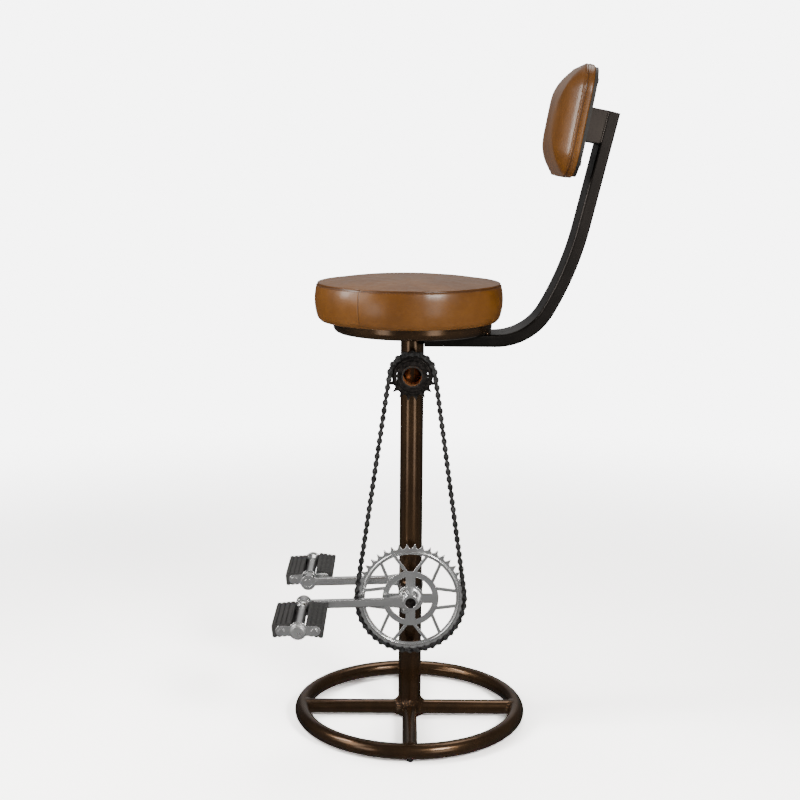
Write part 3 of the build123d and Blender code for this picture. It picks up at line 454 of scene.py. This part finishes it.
def rounded_outline(width, height, corner, columns):
    """Points evenly spaced round a rounded rectangle, anticlockwise from the middle of its right side."""
    flat_x = width / 2 - corner
    flat_y = height / 2 - corner
    arc = math.pi * corner / 2
    legs = [("up", flat_y), ("arc0", arc), ("left", 2 * flat_x), ("arc1", arc), ("down", 2 * flat_y),
            ("arc2", arc), ("right", 2 * flat_x), ("arc3", arc), ("up2", flat_y)]
    total = sum(leg for _, leg in legs)
    points = []
    for n in range(columns):
        travel = total * n / columns
        for name, leg in legs:
            if travel <= leg:
                break
            travel -= leg
        quarter = travel / arc * math.pi / 2
        if name == "up":
            points.append((width / 2, travel))
        elif name == "left":
            points.append((flat_x - travel, height / 2))
        elif name == "down":
            points.append((-width / 2, flat_y - travel))
        elif name == "right":
            points.append((-flat_x + travel, -height / 2))
        elif name == "up2":
            points.append((width / 2, -flat_y + travel))
        else:
            number = int(name[-1])
            angle = number * math.pi / 2 + quarter
            side_x = flat_x if number in (0, 3) else -flat_x
            side_y = flat_y if number in (0, 1) else -flat_y
            points.append((side_x + corner * math.cos(angle), side_y + corner * math.sin(angle)))
    return np.array(points)


def inside_distance(points, width, height, corner):
    """How far points lie inside a rounded rectangle."""
    q = np.abs(points) - np.array((width / 2 - corner, height / 2 - corner))
    outer = np.linalg.norm(np.maximum(q, 0), axis=-1)
    inner = np.minimum(np.maximum(q[..., 0], q[..., 1]), 0)
    return corner - outer - inner


BACK_FRONT = np.array((-math.cos(PAD_LEAN), 0, math.sin(PAD_LEAN)))
BACK_UP = np.array((math.sin(PAD_LEAN), 0, math.cos(PAD_LEAN)))
BACK_SIDE = np.array((0, -1, 0))


def back_box(node):
    """A node's lowest and highest reach across, up and out of the back."""
    points = np.array([v.co for v in nodes[node].data.vertices])
    local = np.stack((points @ BACK_SIDE, points @ BACK_UP, points @ BACK_FRONT), 1)
    return local.min(0), local.max(0)


def make_back_leather():
    low, high = back_box("back_cushion")
    width, height, depth = high - low
    middle = (low + high) / 2
    outline = rounded_outline(width, height, PAD_CORNER, PAD_COLUMNS)
    centre_dir = outline / np.linalg.norm(outline, axis=1, keepdims=True)
    rows = []
    levels = []
    for share in PAD_REAR_SHARES:
        rows.append(outline * share)
        levels.append(np.zeros(PAD_COLUMNS))
    for angle in np.radians(PAD_ROUND_TURNS):
        inset = PAD_BACK_ROUND * (1 - math.sin(angle))
        rows.append(outline - centre_dir * inset)
        levels.append(np.full(PAD_COLUMNS, PAD_BACK_ROUND * (1 - math.cos(angle))))
    first_band = len(rows)
    for share in PAD_BAND_SHARES:
        rows.append(outline.copy())
        levels.append(np.full(PAD_COLUMNS, share * PAD_BAND))
    first_front = len(rows)
    front_insets = np.linspace(PAD_FRONT_FROM, PAD_FRONT_TO * height, PAD_FRONT_ROWS)
    insets = np.concatenate((PAD_SEAM_INSETS, front_insets))
    dome = depth - PAD_BAND
    start_dome = dome - PAD_SLACK
    start_levels = list(levels)
    for inset in insets:
        far_in = inset > PAD_FRONT_FROM
        row = outline * (1 - inset / (height / 2)) if far_in else outline - centre_dir * inset
        deep = np.clip(inside_distance(row, width, height, PAD_CORNER) / PAD_FLAT_FROM, 0, 1)
        crown = 1 - (1 - deep) ** PAD_CROWN_POWER
        rows.append(row)
        levels.append(PAD_BAND + dome * crown)
        start_levels.append(PAD_BAND + start_dome * crown)
    rows = np.array(rows)
    levels = np.array(levels)
    start_levels = np.array(start_levels)

    def skin(level):
        return (BACK_SIDE * (rows[:, :, 0:1] + middle[0]) + BACK_UP * (rows[:, :, 1:2] + middle[1])
                + BACK_FRONT * (level[:, :, None] + low[2]))

    obj = ring_object("back_leather", skin(start_levels))
    count = rows.shape[0] * PAD_COLUMNS
    number = np.arange(rows.shape[0])
    still = (number <= first_front + 1) & ((number < first_band) | (number >= first_front - 2))
    pinned = np.zeros(len(obj.data.vertices), bool)
    pinned[:count] = np.repeat(still, PAD_COLUMNS)
    pinned[count] = True
    blown = inflate(obj, pinned, CLOTH_CAP * PAD_SLACK)[:count].reshape(rows.shape[0], PAD_COLUMNS, 3)
    rest = skin(start_levels)
    fill = (high[2] - (blown @ BACK_FRONT).max()) / PAD_SLACK
    points = blown + (skin(levels) - rest) * fill

    out = BACK_SIDE * centre_dir[:, 0:1] + BACK_UP * centre_dir[:, 1:2]
    gap = levels - PAD_BAND
    number = np.arange(rows.shape[0])[:, None]
    groove = bump_between(gap + PAD_GROOVE_AT * SEAM_GROOVE_HALF, PAD_GROOVE_REACH * SEAM_GROOVE_HALF)
    groove *= number < first_front
    inset_rows = np.concatenate((np.full(first_front, -1.0), insets))[:, None]
    lip = bump_between(inset_rows - PAD_LIP_IN, PAD_LIP_REACH) * (number >= first_front)
    points = points - out[None] * (SEAM_GROOVE * groove)[:, :, None]
    points = points + (PAD_LIP_OUT * out[None] + BACK_FRONT) * (SEAM_LIP * lip)[:, :, None]
    turns = np.linspace(0, 2 * math.pi, PAD_COLUMNS, endpoint=False)
    wave = puckers(turns, GRAIN_SEED + 1)
    fade = np.exp(-np.abs(inset_rows) / PUCKER_FADE) * (number >= first_front)
    points = points + BACK_FRONT * (PUCKER * fade * wave[None])[:, :, None]
    # Painted shade: the leather is to be darkened in the seam's groove and, less, on its lip
    seam_shade = np.maximum(groove, PAD_LIP_SHADE * lip) + np.zeros((1, PAD_COLUMNS))
    set_skin(obj, points, seam_shade)
    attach(obj, "frame")
    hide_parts("back_cushion")
    return obj, points[first_front - PAD_STITCHES_BELOW], out


def weld_section(corner, on_branch, on_main, steps):
    """Points across the hollow face of a fillet, from the branch to the main tube."""
    t = np.linspace(0, 1, steps)[:, None]
    pull = WELD_TO_EDGE * on_branch + WELD_TO_EDGE * on_main + WELD_TO_CORNER * corner
    return (1 - t) ** 2 * on_branch + 2 * t * (1 - t) * pull + t ** 2 * on_main


def saddle_weld(place, branch_r, main_r, leg, floor=None):
    """A fillet where a tube along the local X axis runs into a tube along local Z: closed rings of points."""
    rings = []
    ripples = round(2 * math.pi * branch_r / WELD_RIPPLE_PITCH)

    def on_main(radius, angle):
        y = radius * math.sin(angle)
        y = max(-WELD_WRAP * main_r, min(WELD_WRAP * main_r, y))
        return np.array((math.sqrt(main_r ** 2 - y ** 2), y, radius * math.cos(angle)))

    for n in range(WELD_STEPS):
        angle = 2 * math.pi * n / WELD_STEPS
        away = np.array((0, math.sin(angle), math.cos(angle)))
        ripple = WELD_RIPPLE * math.sin(angle * ripples)
        corner = on_main(branch_r, angle)
        grown = leg + WELD_LEG_RIPPLES * ripple
        on_tube = corner + np.array((grown, 0, 0))
        on_face = on_main(branch_r + grown, angle)
        section = weld_section(corner, on_tube, on_face, WELD_ACROSS)
        behind = corner - away * WELD_SINK - np.array((WELD_SINK, 0, 0))
        on_tube_in = on_tube - away * WELD_SINK
        on_face_in = on_face - np.array((WELD_SINK, 0, 0))
        rings.append(np.vstack((on_tube_in, section, on_face_in, behind)))
    rings = np.array(rings)
    flat = rings.reshape(-1, 3) @ place[:3, :3].T + place[:3, 3]
    if floor is not None:
        flat[:, 2] = np.maximum(flat[:, 2], floor)
    return flat.reshape(rings.shape)


def torus_object(name, groups):
    """One object from several closed loops of closed sections."""
    points = []
    faces = []
    for rings in groups:
        count, columns, _ = rings.shape
        first = len(points)
        points += list(rings.reshape(-1, 3))
        faces += ring_faces(count, columns, first)
        last = first + (count - 1) * columns
        for j in range(columns):
            k = (j + 1) % columns
            faces.append((last + j, last + k, first + k, first + j))
    return new_object(name, points, faces)


def placed(x_axis, z_axis, origin):
    """The place whose X and Z axes and origin are these."""
    x = np.array(x_axis, float)
    z = np.array(z_axis, float)
    m = np.eye(4)
    m[:3, 0] = x
    m[:3, 1] = np.cross(z, x)
    m[:3, 2] = z
    m[:3, 3] = origin
    return m


def bead(start, end, radius, ripple_seed):
    """A straight weld bead with rounded ends and ripples. Rings of points."""
    start = np.array(start, float)
    end = np.array(end, float)
    length = np.linalg.norm(end - start)
    forward = (end - start) / length
    side = np.cross(forward, (0, 0, 1.0))
    side /= np.linalg.norm(side)
    up = np.cross(side, forward)
    steps = max(int(length / (WELD_RIPPLE_PITCH / BEAD_RIPPLE_STEPS)), BEAD_LEAST_STEPS)
    rng = np.random.default_rng(ripple_seed)
    phase = rng.uniform(0, 2 * math.pi)
    rings = []
    for n in range(steps + 1):
        share = n / steps
        edge = min(share, 1 - share) * length
        close = math.sqrt(max(1 - (1 - min(edge / radius, 1)) ** 2, BEAD_END))
        swell = 1 + BEAD_SWELL * math.sin(2 * math.pi * share * length / WELD_RIPPLE_PITCH + phase)
        r = radius * close * swell
        angles = 2 * math.pi * np.arange(BEAD_AROUND) / BEAD_AROUND
        rings.append(start + forward * share * length
                     + r * (np.cos(angles)[:, None] * side + np.sin(angles)[:, None] * up))
    return np.array(rings)


def capped_object(name, groups):
    """One object from several skins with closed ends."""
    points = []
    faces = []
    for rings in groups:
        count, columns, _ = rings.shape
        first = len(points)
        points += list(rings.reshape(-1, 3))
        faces += ring_faces(count, columns, first)
        faces.append(tuple(first + j for j in reversed(range(columns))))
        last = first + (count - 1) * columns
        faces.append(tuple(last + j for j in range(columns)))
    return new_object(name, points, faces)


def make_welds():
    spoke_low, spoke_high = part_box("base_spoke_front")
    spoke_r = (spoke_high.z - spoke_low.z) / 2
    base_z = (spoke_high.z + spoke_low.z) / 2
    ring_low, ring_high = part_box("base_ring")
    tube_r = (ring_high.z - ring_low.z) / 2
    ring_r = ring_high.x - tube_r
    post_low, post_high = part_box("post_lower")
    post_r = (post_high.x - post_low.x) / 2
    shell_low, shell_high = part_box("crank_shell")
    shell_r = (shell_high.x - shell_low.x) / 2
    axle_z = (shell_low.z + shell_high.z) / 2
    boss_low, boss_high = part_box("freewheel_boss")
    boss_r = (boss_high.x - boss_low.x) / 2
    hub_z = (boss_low.z + boss_high.z) / 2
    plate_low, plate_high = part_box("seat_plate")
    arm_low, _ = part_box("back_arm")
    arm_half = -arm_low.y
    plate_r = plate_high.x
    up = (0, 0, 1)
    base = []
    for way in ((1, 0, 0), (0, 1, 0), (-1, 0, 0), (0, -1, 0)):
        way = np.array(way, float)
        base.append(saddle_weld(placed(way, up, (0, 0, base_z)), spoke_r, post_r, WELD_LEG, floor=post_low.z))
        tangent = np.cross(up, way)
        base.append(saddle_weld(placed(-way, tangent, way * ring_r + np.array((0, 0, base_z))),
                                spoke_r, tube_r, WELD_LEG))
    post = []
    for way in (1, -1):
        place = placed((0, 0, way), (0, 1, 0), (0, 0, axle_z))
        post.append(saddle_weld(place, post_r, shell_r, SHELL_WELD_LEG))
    post.append(saddle_weld(placed((0, -1, 0), up, (0, 0, hub_z)), boss_r, post_r, BOSS_WELD_LEG))
    collar = []
    for n in range(WELD_STEPS):
        angle = 2 * math.pi * n / WELD_STEPS
        out = np.array((math.cos(angle), math.sin(angle), 0))
        corner = out * post_r + np.array((0, 0, plate_low.z))
        ripple = 1 + COLLAR_RIPPLE * math.sin(angle * round(2 * math.pi * post_r / WELD_RIPPLE_PITCH))
        leg = SHELL_WELD_LEG * ripple
        section = weld_section(corner, corner - np.array((0, 0, leg)), corner + out * leg, WELD_ACROSS)
        sunk = corner - out * WELD_SINK + np.array((0, 0, WELD_SINK / 2))
        collar.append(np.vstack((section[0] - out * WELD_SINK, section, sunk)))
    post.append(np.array(collar))
    pieces = [torus_object("base_welds", base), torus_object("post_welds", post)]
    under = plate_low.z
    inner_x = post_r + PLATE_BEAD_OFF_POST
    rim_x = math.sqrt((plate_r - PLATE_BEAD_OFF_RIM) ** 2 - arm_half ** 2)
    beads = []
    for s in (1, -1):
        y = s * (arm_half + PLATE_BEAD_ASIDE)
        beads.append(bead((inner_x, y, under), (rim_x, y, under), PLATE_BEAD_R, PLATE_BEAD_SEED))
    lip_r = plate_r - LIP_BEAD_IN
    for n in range(LIP_BEADS):
        ends = []
        for share in (-1 + 2 * n / LIP_BEADS, -1 + 2 * (n + 1) / LIP_BEADS):
            y = share * (arm_half - LIP_BEAD_SHORT)
            ends.append((math.sqrt(lip_r ** 2 - y ** 2), y, under + LIP_BEAD_RISE))
        beads.append(bead(*ends, PLATE_BEAD_R, LIP_BEAD_SEED + n))
    pieces.append(capped_object("plate_welds", beads))
    corners = np.array([v.co for v in nodes["back_bracket"].data.vertices])
    depth = corners @ BACK_FRONT
    behind = corners[depth < depth.min() + BRACKET_REAR_SHARE * (depth.max() - depth.min())]
    lowest = behind[behind[:, 2].argmin()]
    highest = behind[behind[:, 2].argmax()]
    beads = []
    for s in (1, -1):
        aside = np.array((0, s * (arm_half - BRACKET_BEAD_IN), 0)) - BACK_FRONT * BRACKET_BEAD_BACK
        ends = [aside + np.array((corner[0], 0, corner[2])) for corner in (lowest, highest)]
        beads.append(bead(*ends, BRACKET_BEAD_R, BRACKET_BEAD_SEED + s))
    pieces.append(capped_object("bracket_welds", beads))
    for obj in pieces:
        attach(obj, "frame")
    return pieces


class Look:
    """A procedural material, built node by node on one shader."""

    def __init__(self, name):
        self.material = bpy.data.materials.new(name)
        self.material.use_nodes = True
        self.tree = self.material.node_tree
        self.shader = self.tree.nodes["Principled BSDF"]
        self.place = self.tree.nodes.new("ShaderNodeTexCoord").outputs["Object"]

    def put(self, **values):
        for name, value in values.items():
            self.shader.inputs[name.replace("_", " ").title().replace("Ior", "IOR")].default_value = value

    def link(self, start, end):
        self.tree.links.new(start, end)

    def stretch(self, scale):
        node = self.tree.nodes.new("ShaderNodeMapping")
        node.inputs["Scale"].default_value = scale
        self.link(self.place, node.inputs["Vector"])
        return node.outputs["Vector"]

    def noise(self, scale, detail, rough=0.55, at=None):
        node = self.tree.nodes.new("ShaderNodeTexNoise")
        node.inputs["Scale"].default_value = scale
        node.inputs["Detail"].default_value = detail
        node.inputs["Roughness"].default_value = rough
        self.link(at or self.place, node.inputs["Vector"])
        return node.outputs["Fac"]

    def cells(self, scale):
        """The distance from the middle of the nearest of many cells."""
        node = self.tree.nodes.new("ShaderNodeTexVoronoi")
        node.inputs["Scale"].default_value = scale
        self.link(self.place, node.inputs["Vector"])
        return node.outputs["Distance"]

    def attribute(self, name):
        node = self.tree.nodes.new("ShaderNodeAttribute")
        node.attribute_name = name
        return node.outputs["Fac"]

    def spread(self, value, low, high, to_low=0.0, to_high=1.0):
        node = self.tree.nodes.new("ShaderNodeMapRange")
        node.interpolation_type = "SMOOTHSTEP"
        for name, number in (("From Min", low), ("From Max", high), ("To Min", to_low), ("To Max", to_high)):
            node.inputs[name].default_value = number
        self.link(value, node.inputs["Value"])
        return node.outputs["Result"]

    def math(self, operation, a, b):
        node = self.tree.nodes.new("ShaderNodeMath")
        node.operation = operation
        for socket, value in zip(node.inputs, (a, b)):
            if isinstance(value, (int, float)):
                socket.default_value = value
            else:
                self.link(value, socket)
        return node.outputs["Value"]

    def mix(self, share, a, b):
        node = self.tree.nodes.new("ShaderNodeMix")
        node.data_type = "RGBA"
        self.link(share, node.inputs["Factor"])
        for socket, value in ((node.inputs[6], a), (node.inputs[7], b)):
            if isinstance(value, tuple):
                socket.default_value = (*value, 1.0)
            else:
                self.link(value, socket)
        return node.outputs[2]

    def axis(self, name):
        node = self.tree.nodes.new("ShaderNodeSeparateXYZ")
        self.link(self.place, node.inputs[0])
        return node.outputs[name]

    def bump(self, height, distance, strength, edge=0.0):
        """Fine relief from a height, on edges rounded by a small radius."""
        node = self.tree.nodes.new("ShaderNodeBump")
        node.inputs["Distance"].default_value = distance
        node.inputs["Strength"].default_value = strength
        self.link(height, node.inputs["Height"])
        if edge:
            round_edge = self.tree.nodes.new("ShaderNodeBevel")
            round_edge.samples = BEVEL_SAMPLES
            round_edge.inputs["Radius"].default_value = edge
            self.link(round_edge.outputs["Normal"], node.inputs["Normal"])
        self.link(node.outputs["Normal"], self.shader.inputs["Normal"])

    def colour(self, value):
        self.link(value, self.shader.inputs["Base Color"])

    def roughness(self, value):
        self.link(value, self.shader.inputs["Roughness"])


def leather():
    look = Look("leather")
    clouds = look.spread(look.noise(14.0, 5.0), 0.3, 0.72)
    tone = look.mix(clouds, (0.124, 0.0445, 0.0042), (0.178, 0.068, 0.0086))
    pores = look.spread(look.cells(900.0), 0.0, 0.42)
    tone = look.mix(pores, (0.085, 0.028, 0.0035), tone)
    worn = look.spread(look.noise(46.0, 6.0), 0.56, 0.8, 0.0, 0.3)
    tone = look.mix(worn, tone, (0.23, 0.100, 0.024))
    # Painted shade: the leather darkens along the seams' grooves and lips, by the values stored on the skin
    tone = look.mix(look.attribute("seam_shade"), tone, (0.060, 0.022, 0.005))
    look.colour(tone)
    look.roughness(look.spread(look.noise(60.0, 3.0), 0.3, 0.7, 0.34, 0.46))
    grain = look.math("ADD", look.math("MULTIPLY", look.cells(820.0), 0.5), look.noise(330.0, 5.0))
    look.bump(grain, 0.00022, 0.5)
    look.put(specular_ior_level=0.24, coat_weight=0.5, coat_roughness=0.25)
    return look.material


def thread():
    look = Look("thread")
    twist = look.spread(look.noise(1400.0, 2.0), 0.35, 0.65)
    look.colour(look.mix(twist, (0.07, 0.028, 0.009), (0.12, 0.05, 0.016)))
    look.bump(twist, 0.0001, 0.5)
    look.put(roughness=0.6)
    return look.material


def metal_paint(name, dark, light, flake, rough, coat):
    """Dark metallic paint rubbed back unevenly to a lighter tone, with fine flake and a clear coat."""
    look = Look(name)
    rubbed = look.spread(look.noise(7.0, 3.0), 0.3, 0.75)
    tone = look.mix(rubbed, dark, light)
    sparkle = look.spread(look.cells(1900.0), 0.0, 0.3, 0.12, 0.0)
    tone = look.mix(sparkle, tone, flake)
    streaks = look.spread(look.noise(34.0, 4.0, at=look.stretch((1.0, 1.0, 0.1))), 0.5, 0.85, 0.0, 0.14)
    tone = look.mix(streaks, tone, flake)
    look.colour(tone)
    look.roughness(look.spread(look.noise(70.0, 4.0), 0.3, 0.75, rough - 0.02, rough + 0.04))
    look.bump(look.noise(420.0, 3.0), 0.0002, 0.05, edge=PAINT_EDGE)
    look.put(metallic=0.85, coat_weight=coat, coat_roughness=0.14)
    return look.material


def plated_steel(name, tone, rough, dimples=0.0):
    """Bright plating: faint cloudy stains, fine brush marks and pits."""
    look = Look(name)
    clouds = look.spread(look.noise(24.0, 3.0), 0.3, 0.75)
    stained = tuple(0.9 * c for c in tone)
    value = look.mix(clouds, stained, tone)
    pits = look.spread(look.cells(620.0), 0.02, 0.08, 0.12, 0.0)
    value = look.mix(pits, value, tuple(0.5 * c for c in tone))
    look.colour(value)
    look.roughness(look.spread(look.noise(60.0, 3.0), 0.3, 0.75, rough - 0.03, rough + 0.05))
    marks = look.noise(240.0, 4.0, at=look.stretch((0.25, 1.0, 1.0)))
    height = look.math("MULTIPLY", marks, 0.6)
    if dimples:
        height = look.math("ADD", height, look.spread(look.cells(dimples), 0.1, 0.4, 2.0, 0.0))
    look.bump(height, 0.0001, 0.7 if dimples else 0.12, edge=STEEL_EDGE)
    look.put(metallic=1.0)
    return look.material


def rubbed_copper(end_y):
    """A bore rubbed to copper, in a boss blackened on its end face."""
    look = Look("rubbed_copper")
    stains = look.spread(look.noise(120.0, 4.0), 0.35, 0.65)
    inside = look.spread(look.axis("Y"), end_y + 0.0003, end_y + 0.0012)
    copper = look.mix(stains, (0.40, 0.13, 0.035), (0.80, 0.43, 0.19))
    look.colour(look.mix(inside, (0.04, 0.036, 0.033), copper))
    look.roughness(look.spread(stains, 0.2, 0.8, 0.30, 0.42))
    look.bump(look.noise(300.0, 3.0), 0.0002, 0.1, edge=CHAIN_EDGE)
    look.put(metallic=0.5)
    return look.material


def oiled_steel(name, tone, grime, rough):
    look = Look(name)
    greasy = look.spread(look.noise(180.0, 5.0), 0.35, 0.7)
    look.colour(look.mix(greasy, grime, tone))
    look.roughness(look.spread(look.noise(240.0, 4.0), 0.3, 0.7, rough, rough + 0.2))
    look.bump(look.noise(700.0, 3.0), 0.0002, 0.15, edge=CHAIN_EDGE)
    look.put(metallic=0.9)
    return look.material


def rubber(name, tone, speck):
    look = Look(name)
    dust = look.spread(look.noise(900.0, 6.0, 0.7), 0.45, 0.75)
    look.colour(look.mix(dust, tone, speck))
    look.roughness(look.spread(look.noise(300.0, 4.0), 0.3, 0.7, 0.62, 0.85))
    look.bump(look.noise(1100.0, 5.0, 0.7), 0.0005, 0.7)
    look.put(specular_ior_level=0.4)
    return look.material


def wood(name, pale, dark):
    look = Look(name)
    layers = look.noise(260.0, 4.0, at=look.stretch((0.06, 0.06, 1.0)))
    look.colour(look.mix(look.spread(layers, 0.35, 0.65), pale, dark))
    look.roughness(look.spread(layers, 0.3, 0.7, 0.55, 0.75))
    look.bump(layers, 0.0003, 0.4)
    return look.material


def studio_ramp(tree, heading, ends):
    """A smooth change from one light to another as a direction's heading goes from one number to another."""
    node = tree.nodes.new("ShaderNodeMapRange")
    node.interpolation_type = "SMOOTHSTEP"
    tree.links.new(heading, node.inputs["Value"])
    for name, value in zip(("From Min", "From Max", "To Min", "To Max"), ends):
        if isinstance(value, float):
            node.inputs[name].default_value = value
        else:
            tree.links.new(value, node.inputs[name])
    return node.outputs["Result"]


def add_studio():
    world = bpy.data.worlds.new("studio")
    bpy.context.scene.world = world
    world.use_nodes = True
    tree = world.node_tree
    tree.nodes.clear()
    ends = tree.nodes.new("ShaderNodeOutputWorld")
    place = tree.nodes.new("ShaderNodeTexCoord")
    split = tree.nodes.new("ShaderNodeSeparateXYZ")
    tree.links.new(place.outputs["Generated"], split.inputs[0])
    aside = tree.nodes.new("ShaderNodeMath")
    aside.operation = "ABSOLUTE"
    tree.links.new(split.outputs["X"], aside.inputs[0])
    behind = tree.nodes.new("ShaderNodeMath")
    behind.operation = "MULTIPLY"
    tree.links.new(studio_ramp(tree, aside.outputs["Value"], STUDIO_ASIDE), behind.inputs[0])
    tree.links.new(studio_ramp(tree, split.outputs["Z"], STUDIO_RISE), behind.inputs[1])
    level = studio_ramp(tree, split.outputs["Y"], (*STUDIO_BACK, STUDIO_NEAR, behind.outputs["Value"]))
    studio = tree.nodes.new("ShaderNodeBackground")
    tree.links.new(level, studio.inputs["Strength"])
    studio.inputs["Color"].default_value = (1.0, 0.985, 0.97, 1.0)
    backdrop = tree.nodes.new("ShaderNodeBackground")
    backdrop.inputs["Color"].default_value = (1.0, 1.0, 1.0, 1.0)
    backdrop.inputs["Strength"].default_value = BACKDROP
    path = tree.nodes.new("ShaderNodeLightPath")
    mixed = tree.nodes.new("ShaderNodeMixShader")
    tree.links.new(path.outputs["Is Camera Ray"], mixed.inputs[0])
    tree.links.new(studio.outputs[0], mixed.inputs[1])
    tree.links.new(backdrop.outputs[0], mixed.inputs[2])
    tree.links.new(mixed.outputs[0], ends.inputs["Surface"])


def add_floor():
    turns = np.linspace(0, 2 * math.pi, FLOOR_SEGMENTS, endpoint=False)
    points = [(FLOOR_R * math.cos(t), FLOOR_R * math.sin(t), 0) for t in turns]
    obj = new_object("floor", points, [tuple(range(FLOOR_SEGMENTS))])
    look = Look("floor")
    look.colour(look.mix(look.spread(look.noise(3.0, 3.0), 0.3, 0.7), (0.74, 0.74, 0.74), (0.78, 0.78, 0.78)))
    look.put(roughness=0.7)
    distance = look.tree.nodes.new("ShaderNodeVectorMath")
    distance.operation = "LENGTH"
    look.link(look.place, distance.inputs[0])
    fade = look.spread(distance.outputs["Value"], FLOOR_FADE_FROM, FLOOR_FADE_TO)
    glow = look.tree.nodes.new("ShaderNodeEmission")
    glow.inputs["Strength"].default_value = BACKDROP
    shown = look.tree.nodes.new("ShaderNodeBsdfDiffuse")
    shown.inputs["Color"].default_value = (*FLOOR_SHOWN, 1.0)
    faded = look.tree.nodes.new("ShaderNodeMixShader")
    look.link(fade, faded.inputs[0])
    look.link(shown.outputs[0], faded.inputs[1])
    look.link(glow.outputs[0], faded.inputs[2])
    path = look.tree.nodes.new("ShaderNodeLightPath")
    mixed = look.tree.nodes.new("ShaderNodeMixShader")
    look.link(path.outputs["Is Camera Ray"], mixed.inputs[0])
    look.link(look.shader.outputs[0], mixed.inputs[1])
    look.link(faded.outputs[0], mixed.inputs[2])
    look.link(mixed.outputs[0], look.tree.nodes["Material Output"].inputs["Surface"])
    obj.data.materials.append(look.material)
    obj.visible_glossy = False


def add_softbox(name, azimuth, elevation, distance, size, power, aim=(0, 0, 0.55)):
    """A soft light. Azimuth 0 is where the camera stands, and it grows towards +X."""
    light = bpy.data.lights.new(name, "AREA")
    light.shape = "RECTANGLE"
    light.size, light.size_y = size
    light.energy = power
    light.color = (1.0, 0.97, 0.94)
    obj = bpy.data.objects.new(name, light)
    bpy.context.scene.collection.objects.link(obj)
    a = math.radians(azimuth)
    e = math.radians(elevation)
    away = Vector((math.sin(a) * math.cos(e), -math.cos(a) * math.cos(e), math.sin(e)))
    obj.location = Vector(aim) + away * distance
    obj.rotation_euler = (-away).to_track_quat("-Z", "Y").to_euler()


def add_camera():
    data = bpy.data.cameras.new("camera")
    data.sensor_width = SENSOR * 1000
    data.lens = FOCAL_PIXELS / IMAGE_PIXELS * SENSOR * 1000
    obj = bpy.data.objects.new("camera", data)
    bpy.context.scene.collection.objects.link(obj)
    tilt = Matrix.Rotation(math.pi / 2 - CAMERA_TILT, 4, "X")
    roll = Matrix.Rotation(CAMERA_ROLL, 4, "Z")
    obj.matrix_world = Matrix.Translation(CAMERA_AT) @ tilt @ roll
    bpy.context.scene.camera = obj


def give(obj, material):
    obj.data.materials.clear()
    obj.data.materials.append(material)


hide = leather()
bronze = metal_paint("bronze_paint", (0.055, 0.030, 0.014), (0.100, 0.055, 0.024), (0.40, 0.18, 0.065),
                     rough=0.23, coat=0.3)
finishes = {
    "bronze_paint": bronze,
    "arm_paint": metal_paint("arm_paint", (0.024, 0.020, 0.018), (0.048, 0.040, 0.035), (0.10, 0.08, 0.065),
                             rough=0.48, coat=0.03),
    "leather": hide,
    "bright_steel": plated_steel("bright_steel", (0.88, 0.89, 0.89), 0.21),
    "pedal_steel": plated_steel("pedal_steel", (0.88, 0.885, 0.885), 0.22),
    "block_rubber": rubber("block_rubber", (0.030, 0.030, 0.030), (0.105, 0.105, 0.10)),
    "glide_rubber": rubber("glide_rubber", (0.014, 0.014, 0.014), (0.04, 0.04, 0.04)),
    "chain_steel": oiled_steel("chain_steel", (0.13, 0.13, 0.13), (0.035, 0.034, 0.033), 0.30),
    "black_steel": oiled_steel("black_steel", (0.055, 0.048, 0.045), (0.018, 0.016, 0.015), 0.28),
    "ball_steel": plated_steel("ball_steel", (0.7, 0.7, 0.7), 0.14),
    "plywood": wood("plywood", (0.42, 0.28, 0.15), (0.24, 0.14, 0.065)),
    "black_board": wood("black_board", (0.012, 0.011, 0.010), (0.03, 0.026, 0.022)),
    "screw_steel": oiled_steel("screw_steel", (0.10, 0.10, 0.10), (0.03, 0.03, 0.03), 0.26),
}
for part in frame["record"]["subparts"]:
    give(nodes[part["node"]], finishes[part["material_slot"]])
give(nodes["drive_pedal_dust_cap"], plated_steel("dimpled_steel", (0.90, 0.905, 0.90), 0.30, dimples=420.0))
give(nodes["off_pedal_dust_cap"], nodes["drive_pedal_dust_cap"].data.materials[0])
# Painted shade: the crank axle takes the dark black_steel finish, so its ends in the crank eyes read as the
# shade of the axle holes
give(nodes["crank_axle"], finishes["black_steel"])
# The back arm alone gets a darker copy of the arm paint
give(nodes["back_arm"], metal_paint("dark_arm_paint", (0.010, 0.009, 0.008), (0.024, 0.020, 0.018),
                                    (0.06, 0.05, 0.04), rough=0.40, coat=0.05))
give(nodes["freewheel_boss"], rubbed_copper(min(v.co.y for v in nodes["freewheel_boss"].data.vertices)))

seat, seam_line, seat_centre = make_seat_leather()
give(seat, hide)
spread_out = seam_line - np.array((seat_centre[0], seat_centre[1], 0))
spread_out[:, 2] = 0
seat_stitches = make_stitches("seat_stitches", seam_line, spread_out)
back, back_line, back_out = make_back_leather()
give(back, hide)
back_stitches = make_stitches("back_stitches", back_line, back_out)
sewing = thread()
give(seat_stitches, sewing)
give(back_stitches, sewing)
for weld in make_welds():
    give(weld, finishes["arm_paint"] if weld.name == "bracket_welds" else bronze)

add_studio()
add_floor()
add_softbox("right_softbox", 33, 26, 2.4, (0.6, 0.6), 42)
add_softbox("left_softbox", -62, 20, 2.4, (1.0, 1.5), 21, aim=(0, 0, 0.7))
add_softbox("top_softbox", 160, 65, 2.2, (1.6, 1.2), 22)
add_softbox("right_strip", 30, -8, 2.3, (0.7, 1.0), 6.5, aim=(0, 0, 0.7))
add_softbox("left_strip", -42, -8, 2.3, (0.7, 1.0), 6.5, aim=(0, 0, 0.7))
add_softbox("back_softbox", -84, 14, 1.4, (0.24, 0.95), 14, aim=(0.24, -0.05, 1.0))
add_camera()
